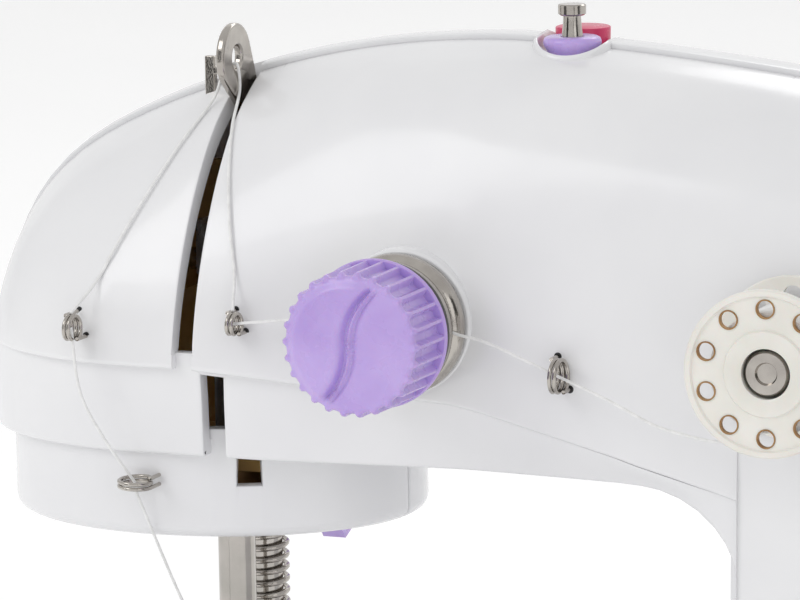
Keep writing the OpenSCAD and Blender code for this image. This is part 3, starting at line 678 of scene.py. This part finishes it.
def on_top(x, y):
    """Height of the housing's top at a place."""
    u = min(1, abs(MID_Y - y) / half_depth(x))
    return BELLY_Z + (top(x) - BELLY_Z) * (1 - u ** bulge(x)) ** (1 / bulge(x))


def stadium(radius):
    """Outline round the spool pin's socket and the button."""
    steps = 24
    way = math.atan2(BUTTON.y - SPOOL.y, BUTTON.x - SPOOL.x)
    return [(centre.x + radius * math.cos(a), centre.y + radius * math.sin(a))
            for centre, start in ((BUTTON, way - math.pi / 2), (SPOOL, way + math.pi / 2))
            for a in (start + math.pi * k / steps for k in range(steps + 1))]


def prism(loop, low, high):
    """Upright solid over an outline, between two heights."""
    verts, faces = grid([[(x, y, z) for x, y in loop] for z in (low, high)], closed=True)
    wide = len(loop)
    return verts, faces + [tuple(range(wide)), tuple(2 * wide - 1 - k for k in range(wide))]


def dish_rim():
    """Hollow on top for the spool pin and the button, with a lip that follows the housing."""
    rows = []
    for radius, rise in ((5.1, -0.7), (4.95, 0), (4.8, 0.22), (4.62, 0.3), (4.45, 0.2), (4.35, -0.1)):
        rows.append([(x, y, on_top(x, y) + rise - 0.5 * max(0, MID_Y - 4 - y) / 4)
                     for x, y in stadium(radius)])
    rows = [[(x, y, SPOOL_FOOT - 2.6) for x, y in stadium(5.1)]] + rows
    rows.append([(x, y, SPOOL_FOOT - 0.6) for x, y in stadium(4.3)])
    verts, faces = grid(rows, closed=True)
    wide = len(rows[0])
    return verts, faces + [tuple(range(wide)), tuple(len(verts) - 1 - k for k in range(wide))]


def outline(width, depth, radius, steps=8):
    """Round-cornered rectangle about the origin."""
    loop = []
    for quarter, (sx, sy) in enumerate(((1, 1), (-1, 1), (-1, -1), (1, -1))):
        for k in range(steps + 1):
            a = math.radians(90 * (quarter + k / steps))
            loop.append((sx * (width / 2 - radius) + radius * math.cos(a),
                         sy * (depth / 2 - radius) + radius * math.sin(a)))
    return loop


def build_housing():
    """Both halves of the housing, and the dish on top."""
    bar_holes = [rod((NX, y, HEAD_Z - 2), (0, 0, 1), 3.3, 6) for y in (NY, PRESSER.y)]
    lamp_hole = rod((HEAD_CX - 12, MID_Y, HEAD_Z - 2), (0, 0, 1), 4, 5)
    lifter_gap = block((NX - 1.6, MID_Y + 2.4, HEAD_Z - 2), (NX + 5.6, MID_Y + 40, HEAD_Z + 18))
    head_room = oval_rod((HEAD_CX, MID_Y, HEAD_Z + SKIRT_H - 2), SKIRT_A - 1.2, SKIRT_B - 1.2, 6)
    hollow = prism(stadium(4.6), SPOOL_FOOT - 2, SPOOL_FOOT + 5)
    front = joined(cut(*thicken(*housing_half(1)), head_room, hollow),
                   cut(*skirt_half(1), *bar_holes, lamp_hole),
                   boss(KNOB, 9, 0.4, -19.9), boss(BOBBIN, 5.2, 0.5, -20.5))
    lever_gap = block((SLOT_1[0], SEAM_Y - 1, SLOT_1[2]), (SLOT_1[1], SEAM_Y + 3, HEAD_Z + 75))
    rear = joined(cut(*thicken(*housing_half(-1)), head_room, hollow, lifter_gap, lever_gap),
                  cut(*skirt_half(-1), *bar_holes, lamp_hole, lifter_gap))
    piece("front_housing", *front, WHITE, "root", "white_shell", ["front_shell"])
    piece("rear_housing", *rear, WHITE, "root", "white_shell", ["rear_shell"])
    piece("pin_dish", *dish_rim(), WHITE, "root", "white_shell")


def oval_rod(centre, a, b, height):
    """Upright oval cylinder with half-widths a and b."""
    verts, faces = rod((0, 0, 0), (0, 0, 1), 1, height, 96)
    return [(centre[0] + a * x, centre[1] + b * y, centre[2] + z) for x, y, z in verts], faces


# ---------- pieces that stand for CAD nodes ----------

FINISH = {
    "white_shell": WHITE, "white_small": SATIN, "purple_plastic": PURPLE, "pink_plastic": PINK,
    "nickel": NICKEL, "steel": STEEL, "motor_can": ZINC, "chromate": CHROMATE, "bronze": BRONZE,
    "black_plastic": BLACK, "belt_rubber": BELT, "foot_rubber": FOOT, "felt": FELT, "thread": THREAD,
    "bobbin": CREAM, "lens": LENS}
SLOT_OF = {part["node"]: part["material_slot"] for part in frame["record"]["subparts"]}
BODY_OF = {node: body for body, nodes in frame["record"]["behaviour"]["bodies"].items() for node in nodes}


def stand_in(node, solid, material=None, body=True):
    """A finer shape in place of a CAD node, on the same body and material slot."""
    return piece(node + "_form", *solid, material or FINISH[SLOT_OF[node]], BODY_OF[node] if body else None,
                 SLOT_OF[node], [node])


def extra(name, solid, node, material=None):
    """Added detail that goes with a CAD node."""
    return piece(name, *solid, material or FINISH[SLOT_OF[node]], BODY_OF[node], SLOT_OF[node])


def softened(node, width, segments=2, material=None):
    """The CAD node's own shape with its edges rounded."""
    mesh = frame["nodes"][node].data.copy()
    made = bpy.data.objects.new(node + "_form", mesh)
    bpy.context.collection.objects.link(made)
    mesh.materials.clear()
    mesh.materials.append(material or FINISH[SLOT_OF[node]])
    work = bmesh.new()
    work.from_mesh(mesh)
    bmesh.ops.remove_doubles(work, verts=work.verts, dist=0.002 * MM)
    bmesh.ops.dissolve_limit(work, angle_limit=math.radians(1), verts=work.verts, edges=work.edges)
    work.to_mesh(mesh)
    work.free()
    bevel(made, width, segments)
    smooth(made)
    return placed(made, BODY_OF[node], [node])


def turned(rows, centre, along, sides):
    """Turned solid whose rows are functions from the angle to (radius, distance)."""
    side, up, along = axes(along)
    centre = Vector(centre)
    angles = [2 * math.pi * k / sides for k in range(sides)]
    points = [[tuple(centre + along * row(a)[1] + row(a)[0] * (math.cos(a) * side + math.sin(a) * up))
               for a in angles] for row in rows]
    verts, faces = grid(points, closed=True)
    faces += [tuple(range(sides)), tuple(len(verts) - 1 - k for k in range(sides))]
    return verts, faces


def near_rib(angle, count):
    """Degrees from an angle to the middle of the nearest of count equal ribs."""
    pitch = 360 / count
    return abs((math.degrees(angle) + pitch / 2) % pitch - pitch / 2)


KNOB_BACK = -27.9
KNOB_RIBS = 26
FACE_R, FACE_Z = 8, 9.16      # the knob's face: its radius, and its rim's distance from the knob's back


def knob_row(radius, height, rib=0.0, stand=0.0):
    """Row of the knob's side, with ribs that stand out by rib and forward by stand."""
    def row(a):
        share = 1 / (1 + (near_rib(a, KNOB_RIBS) / 2.5) ** 6)
        return radius + rib * share, height + stand * share
    return row


def knob_face(radius):
    """Row of the knob's face: a low dome with a curved ridge and groove across it."""
    def row(a):
        x, y = radius * math.cos(a), radius * math.sin(a)
        s = x - 0.55 * FACE_R * math.copysign(abs(y / FACE_R) ** 2.3, y)
        relief = (0.45 / (1 + math.exp(min(30, (s + 0.9) / 0.25))) - 0.55 * math.exp(-((s + 0.3) / 0.45) ** 2)
                  + 0.5 * math.exp(-((s - 0.4) / 0.24) ** 2) - 0.2 * math.exp(-((s - 0.9) / 0.25) ** 2))
        dome = 0.85 * (1 - (radius / FACE_R) ** 2)
        return max(radius, TINY), FACE_Z + dome + relief * min(1, (FACE_R - radius) / 0.9)
    return row


def build_tension():
    """Tension knob, discs, felt and stud."""
    rows = [knob_row(*r) for r in ((8.9, 0), (9.3, 0.15), (9.3, 0.6), (9.15, 0.78), (8.25, 0.8, 0.85),
                                   (8.22, 1.4, 0.88), (8.2, 4.6, 0.85), (8.15, 7.7, 0.85),
                                   (8.2, 8.05, 0.85), (8.42, 8.2, 0.62), (8.5, 8.5, 0.5, 0.05),
                                   (8.45, 8.8, 0.42, 0.1), (8.3, 9.02, 0.3, 0.12), (8.05, 9.14, 0.05))]
    rows += [knob_face(7.9 - 0.2724 * k) for k in range(29)] + [knob_face(0)]
    stand_in("tension_knob", turned(rows, (KNOB.x, KNOB_BACK, KNOB.z), (0, -1, 0), 312))
    front = [(2.6, 0), (7.6, 0), (8.2, 0.15), (8.45, 0.5), (8.5, 1), (8.5, 1.9), (8.35, 2.2), (8.1, 2.2),
             (8, 1.9), (7.8, 0.7), (2.6, 0.6)]
    rear = [(2.6, 0), (7.3, 0), (8.1, 0.3), (8.7, 0.9), (8.9, 1.5), (8.9, 2.2), (8.75, 2.4), (8.5, 2.3),
            (8.3, 1.5), (7.5, 0.8), (2.6, 0.6)]
    stand_in("tension_discs", joined(lathe(rear, (KNOB.x, -23.4, KNOB.z), (0, 1, 0), 128),
                                     lathe(front, (KNOB.x, -23.8, KNOB.z), (0, -1, 0), 128)))
    stand_in("tension_felt", lathe(rounded([(2.6, 0), (8.8, 0), (8.9, 0.8), (8.8, 1.6), (2.6, 1.6)], 0.3),
                                   (KNOB.x, -26, KNOB.z), (0, -1, 0), 96))
    stand_in("tension_stud", lathe([(0, 0), (2.5, 0), (2.5, 24.3), (2.2, 24.6), (0, 24.6)],
                                   (KNOB.x, -8, KNOB.z), (0, -1, 0), 64))


WIRE_R = 0.27
# middle, radius of the turns, whether they lie flat
GUIDES = [((NX + 8.2, -21.7, HEAD_Z + 28.6), 1.3, False), ((NX + 51.9, -22.4, HEAD_Z + 24.4), 2, False),
          ((NX - 6.8, -20, HEAD_Z + 7), 2.05, True), ((NX - 14.5, -21.6, HEAD_Z + 27), 1.5, False)]


def guide_path(centre, radius, flat):
    """Two flat or two and a half upright turns of wire, with both ends going back into the housing."""
    start, along = (0, Vector((0, 0, 1))) if flat else (90, Vector((1, 0, 0)))
    turns = []
    steps, pitch = (60, 0.6) if flat else (75, 0.62)
    for k in range(steps + 1):
        a = math.radians(start - 12 * k)
        ring = (radius * math.cos(a), radius * math.sin(a), 0) if flat \
            else (0, radius * math.cos(a), radius * math.sin(a))
        turns.append(Vector(centre) + Vector(ring) + (k - steps / 2) / 30 * pitch * along)
    back = Vector((0, 1, 0))
    return ([turns[0] + 3.4 * back, turns[0] + 0.5 * back, turns[0] + 0.15 * back] + turns
            + [turns[-1] + 0.15 * back, turns[-1] + 0.5 * back, turns[-1] + 3.4 * back])


def front_y(x, z):
    """Where the front housing's surface is above its widest level."""
    share = min(1, max(0.0, z - BELLY_Z) / (top(x) - BELLY_Z))
    return MID_Y - half_depth(x) * (1 - share ** bulge(x)) ** (1 / bulge(x))


def build_guides():
    """Wire guides, and black discs on the housing as painted shade of the holes that their ends go into."""
    paths = [guide_path(*guide) for guide in GUIDES]
    stand_in("thread_guides", joined(*[tube(path, WIRE_R, 12) for path in paths]))
    # Black discs just in front of the uncut housing face: painted shade standing in for the holes the wire
    # ends go into
    holes = [rod((p.x, front_y(p.x, p.z) - 0.02, p.z), (0, 1, 0), 0.5, 0.6, 24)
             for (_, _, flat), path in zip(GUIDES, paths) for p in (path[0], path[-1]) if not flat]
    extra("guide_hole_painted_shade", joined(*holes), "tension_felt", BLACK)


THREAD_R = 0.2
LEVER_EYE = Vector((NX, MID_Y - 7.6, HEAD_Z + 59.8))
NEEDLE_TIP = BASE_Z + 10
NEEDLE_EYE = 3.6              # eye's height over the point


def over_face(start, end, lean=0.0):
    """Points just in front of the housing on the way from start to end, bent left by up to lean."""
    start, end = Vector(start), Vector(end)
    made = [start]
    for share in (0.15, 0.3, 0.45, 0.6, 0.75, 0.88):
        here = start + (end - start) * share - Vector((lean * share, 0, 0))
        made.append(Vector((here.x, front_y(here.x, here.z) - 0.45, here.z)))
    return made + [end]


def build_threads():
    """The thread's five stretches."""
    a, b, c, d = (Vector(guide[0]) for guide in GUIDES)
    feed = [(15.8, -27, 137.7), (12, -27, 135.9), (7.9, -26.6, 135.3), (3.5, -25.8, 135.7),
            (-1, -24.9, 136.6), (-7, -23.8, 139), b, (-22.7, -23.2, 145.1), (-28.6, -23.6, 146.9),
            (-34, -23.55, 152), (-42, -23.6, 150), (-46, -23.3, 147.4), a]
    stand_in("thread_feed", tube(curved(feed, 6), THREAD_R, 8))
    side = [d, (NX - 13, -22.6, 136), (NX - 10, -22.2, 130), c]
    stand_in("thread_side", tube(curved(side, 8), THREAD_R, 8))
    to_eye = over_face(a + Vector((0, 0, 1.6)), LEVER_EYE + Vector((0.9, -0.8, -0.95)), 1.2)
    to_eye.append(LEVER_EYE + Vector((0, -0.6, -0.95)))
    from_eye = over_face(LEVER_EYE + Vector((-0.9, -0.8, -0.95)), d + Vector((0, 0, 1.8)))
    from_eye.insert(0, LEVER_EYE + Vector((0, -0.6, -0.95)))
    to_needle = [c + Vector((0, 0, -1)), Vector((NX - 3.2, -13, 106)), Vector((NX - 0.8, NY - 3.6, 98)),
                 Vector((NX - 0.2, NY - 1, 91)), Vector((NX, NY - 0.9, 83)),
                 Vector((NX, NY - 0.7, NEEDLE_TIP + NEEDLE_EYE))]
    for node, path, ends, body in (
            ("thread_to_lever", to_eye, (to_eye[0], to_eye[-1]), "take_up_lever"),
            ("thread_from_lever", from_eye, (from_eye[-1], from_eye[0]), "take_up_lever"),
            ("thread_to_needle", to_needle, (to_needle[0], to_needle[-1]), "needle_bar")):
        made = stand_in(node, tube(curved(path, 6), THREAD_R, 8), body=False)
        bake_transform(made)


def flanged_bobbin():
    """Section of a bobbin with a raised rim on each flange, as a closed loop."""
    low = [(3.05, 0.15), (3.2, 0), (9.9, 0), (10.15, 0.15), (10.15, 0.65), (10, 0.8), (4, 0.8)]
    high = [(4, 10.8), (10, 10.8), (10.15, 10.95), (10.15, 11.5), (9.95, 11.7), (9.4, 11.65), (9.2, 11.35),
            (5.3, 11.3), (5.1, 11.6), (3.4, 11.6), (3.05, 11.4)]
    return low + high


def build_bobbins():
    """Both bobbins, and the front one's winding and spindle."""
    front = (BOBBIN.x, -21.2, BOBBIN.z)
    hole_ring = 7.8
    hole_angles = [math.radians(36 * k + 18) for k in range(10)]
    for node, place, along in (("front_bobbin", front, Vector((0, -1, 0))),
                               ("lower_bobbin", (NX, NY - 13.3, 44.8), Vector((0, 0, 1)))):
        side, up, _ = axes(along)
        holes = [rod(Vector(place) - along + hole_ring * (math.cos(t) * side + math.sin(t) * up),
                     along, 1.2, 14, 28) for t in hole_angles]
        stand_in(node, cut(*lathe(flanged_bobbin(), place, along, 120), *holes))
    eyelets = [lathe([(1.02, 0), (1.19, 0), (1.19, 0.7), (1.02, 0.7)],
                     (BOBBIN.x + hole_ring * math.cos(t), -31.95, BOBBIN.z + hole_ring * math.sin(t)),
                     (0, -1, 0), 32) for t in hole_angles]
    extra("bobbin_eyelets", joined(*eyelets), "front_bobbin", BRONZE)
    turns = [(7.1 + (0.14 if k % 2 else 0), 0.95 + 0.163 * k) for k in range(60)]
    stand_in("thread_winding", lathe([(4.02, 0.9), *turns, (4.02, 10.75)], front, (0, -1, 0), 96))
    spindle = [(0, 0), (1.9, 0), (1.9, 12), (2.9, 12.8), (2.9, 23.9), (2.5, 24.4), (1.4, 24.4), (1.2, 24),
               (0, 24)]
    stand_in("front_spindle", lathe(spindle, (BOBBIN.x, -8, BOBBIN.z), (0, -1, 0), 64))


def knurl_row(radius, height, groove):
    """Row of a thumb screw's head with narrow grooves."""
    def row(a):
        return radius - (groove if near_rib(a, 24) < 3.5 else 0), height
    return row


def build_bars():
    """Needle bar and presser bar with what they carry."""
    bar, presser = (NX, NY, HEAD_Z - 15), (NX, PRESSER.y, 72)
    stand_in("needle_bar", lathe([(0, 0), (2.2, 0), (2.45, 0.3), (2.45, 55.4), (2, 56), (0, 56)], bar,
                                 (0, 0, 1), 64), TURNED)
    lug = block((NX - 3, PRESSER.y - 2.6, 126.1), (NX + 3, PRESSER.y + 3.2, 127.8))
    shaft = lathe([(0, 0), (1.9, 0), (1.9, 29.2), (3.2, 29.2), (3.4, 29.4), (3.4, 30.6), (3.2, 30.8),
                   (1.9, 30.8), (1.9, 65.4), (1.5, 66), (0, 66)], presser, (0, 0, 1), 64)
    stand_in("presser_bar", joined(shaft, lug), TURNED)
    coil = [(NX + 2.45 * math.cos(a), PRESSER.y + 2.45 * math.sin(a), 103.25 + 1.6 * a / (2 * math.pi))
            for a in (math.radians(15 * k) for k in range(289))]
    spring = stand_in("presser_spring", tube(coil, 0.4, 10))
    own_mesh(spring)
    tip = [(0, 0), (0.06, 0.02), (0.22, 1), (0.4, 2.3), (0.42, 15.4), (0.6, 16.2), (1, 17.4), (1, 31.3),
           (0.8, 31.6), (0, 31.6)]
    eye = rod((NX, NY + 3, NEEDLE_TIP + NEEDLE_EYE), (0, -1, 0), 0.2, 6, 16)
    stand_in("needle", cut(*lathe(tip, (NX, NY, NEEDLE_TIP), (0, 0, 1), 40), eye))
    head = [knurl_row(*r) for r in ((1.1, -4, 0), (1.1, 0.3, 0), (2.2, 0.3, 0), (2.6, 0.7, 0.2),
                                    (2.6, 2.7, 0.2), (2.3, 3, 0), (TINY, 3, 0))]
    stand_in("needle_clamp_screw", turned(head, (NX + 5.2, NY, HEAD_Z - 17.5), (1, 0, 0), 144))
    head = [knurl_row(*r) for r in ((1.1, -0.7, 0), (1.1, 0, 0), (2.7, 0, 0), (3, 0.4, 0.2),
                                    (3, 2.6, 0.2), (2.7, 3, 0), (TINY, 3, 0))]
    stand_in("presser_foot_screw", turned(head, (NX + 2.7, PRESSER.y, 77), (1, 0, 0), 144))


def build_top():
    """Spool pin, its socket and the button on top, and the lamp under the head."""
    spool = (SPOOL.x, SPOOL.y, SPOOL_FOOT)
    pin = [(0, -9), (1.3, -9), (1.4, 0), (1.38, 1.5), (1.2, 2.9), (1.14, 3.9), (1.16, 4.2), (1.5, 4.25),
           (1.78, 4.45), (1.8, 5.55), (1.65, 5.68), (0, 5.7)]
    stand_in("spool_pin", lathe(pin, spool, (0, 0, 1), 64))
    socket = [(1.5, -10), (2.7, -10), (3, -9.6), (3, -0.6), (3.2, -0.3), (3.5, 0.2), (3.7, 0.7), (3.7, 1),
              (3.55, 1.4), (3.2, 1.6), (1.6, 1.6), (1.5, 1.5)]
    stand_in("spool_socket", lathe(socket, spool, (0, 0, 1), 96))
    button = [(0, -7), (3, -7), (3, -0.2), (3.5, 0), (3.55, 1.8), (3.48, 1.93), (3.3, 2), (0, 2.03)]
    stand_in("power_button", lathe(button, (BUTTON.x, BUTTON.y, SPOOL_FOOT), (0, 0, 1), 96))
    lens = [(0, -0.2), (1.8, -0.1), (3, 0.25), (3.7, 0.9), (3.9, 1.6), (3.9, 2.1), (4.7, 2.1), (4.8, 2.2),
            (4.8, 3.5), (0, 3.6)]
    stand_in("lamp", lathe(lens, (HEAD_CX - 12, MID_Y, HEAD_Z), (0, 0, 1), 64))


WHEEL_BACK = (83, 0, 143)      # middle of the handwheel's side next to the column


def wheel_row(radius, height, depth=0.0):
    """Row of the handwheel, with shallow finger hollows round its rim."""
    def row(a):
        return radius - depth * max(0, 1 - (near_rib(a, 24) / 3.6) ** 2), height
    return row


def build_handwheel():
    rows = [(TINY, -0.6), (5.7, -0.6), (6, -0.3), (6, 2.8), (7.8, 3), (8.2, 3.2), (10, 6), (21.6, 6),
            (22.2, 5.6), (22.9, 0.9), (23.3, 0.4), (24.8, 0, 0.1), (25.6, 0.3, 0.5), (26, 1.4, 0.8),
            (26, 12, 0.8), (25.9, 13.6, 0.5), (25.8, 14.6), (25.4, 15.6), (24.6, 17), (23.2, 18.3),
            (21, 19.2), (18, 19.75), (17.7, 19.6), (17.3, 19.1), (16.9, 19), (16.5, 19.3), (16.1, 19.8),
            (9, 20), (8.7, 19.8), (8.4, 19.3), (8, 19.3), (7.7, 19.8), (7, 20.1), (TINY, 20.3)]
    stand_in("handwheel", turned([wheel_row(*r) for r in rows], WHEEL_BACK, (1, 0, 0), 360))


BASE_CX, BASE_L, BASE_D = -7.0, 182.0, 104.0
PLATE_X = (NX - 16, NX + 16)


def build_base():
    """Base, slide cover and speed switch."""
    levels = [(2, 58), (2, 3), (0.5, 3), (0, 3.5), (0, 57.6), (0.16, 58.4), (0.6, 59.2), (1.2, 59.75),
              (2.2, 60)]
    rows = [[(BASE_CX + x, y, z) for x, y in outline(BASE_L - 2 * inset, BASE_D - 2 * inset, 16 - inset, 14)]
            for inset, z in levels]
    verts, faces = grid(rows, closed=True)
    wide = len(rows[0])
    faces += [tuple(range(wide)), tuple(len(verts) - 1 - k for k in range(wide))]
    plate_opening = block((PLATE_X[0], 2 - BASE_D / 2, 55), (PLATE_X[1], NY + 22, 62))
    cover_notch = block((PLATE_X[0], -BASE_D / 2 - 1, BASE_Z - 1.7), (PLATE_X[1], 3 - BASE_D / 2, 62))
    belt_opening = block((14, -22, 55), (74, 28, 62))
    drawer_mouth = block((-101, -32, 6.4), (-94, 32, 22))
    switch_slot = block((30, -54, 36), (54, -49, 43))
    lead_hole = rod((BASE_CX + 60, 46, 30), (0, 1, 0), 3, 10)
    made = stand_in("base_shell", cut(verts, faces, plate_opening, cover_notch, belt_opening, drawer_mouth,
                                      switch_slot, lead_hole))
    made.modifiers.clear()
    bevel(made, 0.35, 2)
    smooth(made)
    softened("slide_cover", 0.35)
    extra("cover_ridges", joined(*[rod((NX - 6, -48.6 + 1.1 * k, BASE_Z + 0.05), (1, 0, 0), 0.35, 12, 16)
                                   for k in range(5)]), "slide_cover")
    softened("speed_switch", 0.5, 3)
    extra("switch_ridges", joined(*[rod((39.6 + 1.25 * k, -52.1, 37.6), (0, 0, 1), 0.32, 3.8, 16)
                                    for k in range(4)]), "speed_switch")


SOFT = {"bottom_cover": 0.4, "rubber_feet": 0.6, "battery_door": 0.3, "battery_contacts": 0.1, "drawer": 0.5,
        "needle_plate": 0.15, "needle_plate_screws": 0.15, "housing_screws": 0.2, "chassis": 0.15,
        "shaft_bushes": 0.2, "main_shaft": 0.3, "crank_disc": 0.2, "shaft_pulleys": 0.2, "motor": 0.5,
        "motor_pulley": 0.15, "drive_belt": 0.3, "timing_belt": 0.3, "lower_shaft": 0.1, "lower_bushes": 0.3,
        "hook": 0.15, "bobbin_case": 0.2, "feed_carriage": 0.2, "feed_dog": 0.1, "take_up_lever": 0.35,
        "needle_yoke": 0.2, "needle_bush": 0.2, "needle_clamp": 0.3, "presser_foot": 0.3,
        "presser_lifter": 0.6, "thread_hook": 0.15}


def build_rest():
    """Every CAD node's finish, and rounded edges for those that keep their own shape."""
    for node, slot in SLOT_OF.items():
        for entry in frame["nodes"][node].material_slots:
            entry.material = FINISH[slot]
    for node, width in SOFT.items():
        softened(node, width, 3 if width > 0.3 else 2)


# ---------- stage ----------

LIT_PLACE = Vector((-0.03, 0, 0.14))     # metres, the middle of the head and arm


def build_stage():
    """Pale floor that curves up behind the machine."""
    floor = bpy.data.meshes.new("floor")
    rows = [[(x, y, z) for x in (-6, 6)] for y, z in
            [(-3, 0), (2.5, 0)] + [(2.5 + 1.5 * math.sin(a), 1.5 - 1.5 * math.cos(a))
                                   for a in (0.26 * k for k in range(1, 7))] + [(4, 5)]]
    verts, faces = grid(rows)
    floor.from_pydata(verts, [], faces)
    stage = bpy.data.objects.new("floor", floor)
    bpy.context.collection.objects.link(stage)
    floor.materials.append(finish_of("studio_floor", (0.88, 0.88, 0.88), (0.9, 0.9, 0.9), (0.6, 0.75),
                                     400, 3, 0.01, Emission_Color=(1, 1, 1, 1), Emission_Strength=0.2))
    for face in floor.polygons:
        face.use_smooth = True


def dark_card(name, azimuth, width):
    """A dark panel beside the camera that only mirror-like surfaces see."""
    a = math.radians(azimuth)
    across, out = Vector((math.cos(a), math.sin(a), 0)), Vector((math.sin(a), -math.cos(a), 0))
    corners_of = [LIT_PLACE + 0.8 * out + across * u * width / 2 + Vector((0, 0, h))
                  for u, h in ((-1, -0.4), (1, -0.4), (1, 0.45), (-1, 0.45))]
    mesh = bpy.data.meshes.new(name)
    mesh.from_pydata([tuple(c) for c in corners_of], [], [(0, 1, 2, 3)])
    card = bpy.data.objects.new(name, mesh)
    bpy.context.collection.objects.link(card)
    mesh.materials.append(finish_of(name, (0.02, 0.02, 0.02), (0.04, 0.04, 0.04), (0.8, 0.9), 300, 3, 0.01))
    card.visible_camera = card.visible_diffuse = card.visible_shadow = False


def lamp(name, place, size, power):
    """Soft area light aimed at the head."""
    data = bpy.data.lights.new(name, "AREA")
    data.shape = "RECTANGLE"
    data.size, data.size_y = size
    data.energy = power
    light = bpy.data.objects.new(name, data)
    bpy.context.collection.objects.link(light)
    light.location = place
    light.rotation_euler = (LIT_PLACE - Vector(place)).to_track_quat("-Z", "Y").to_euler()


def build_lights():
    """White surroundings and three soft lamps."""
    world = bpy.data.worlds.new("studio")
    bpy.context.scene.world = world
    world.use_nodes = True
    sky = world.node_tree.nodes["Background"]
    sky.inputs["Color"].default_value = (1, 1, 1, 1)
    sky.inputs["Strength"].default_value = 0.72
    lamp("key", (-0.55, -0.6, 0.75), (0.5, 0.5), 1.8)
    lamp("fill", (0.8, -0.7, 0.45), (0.6, 0.6), 0.6)
    lamp("back", (0.1, 0.9, 0.9), (0.8, 0.4), 2)
    bpy.context.scene.view_settings.view_transform = "Standard"


build_rest()
build_housing()
build_tension()
build_guides()
build_threads()
build_bobbins()
build_bars()
build_top()
build_handwheel()
build_base()
build_stage()
for place, (azimuth, width) in {"right": (78, 0.3), "near": (38, 0.07), "left": (-38, 0.34)}.items():
    dark_card("dark_card_" + place, azimuth, width)
build_lights()
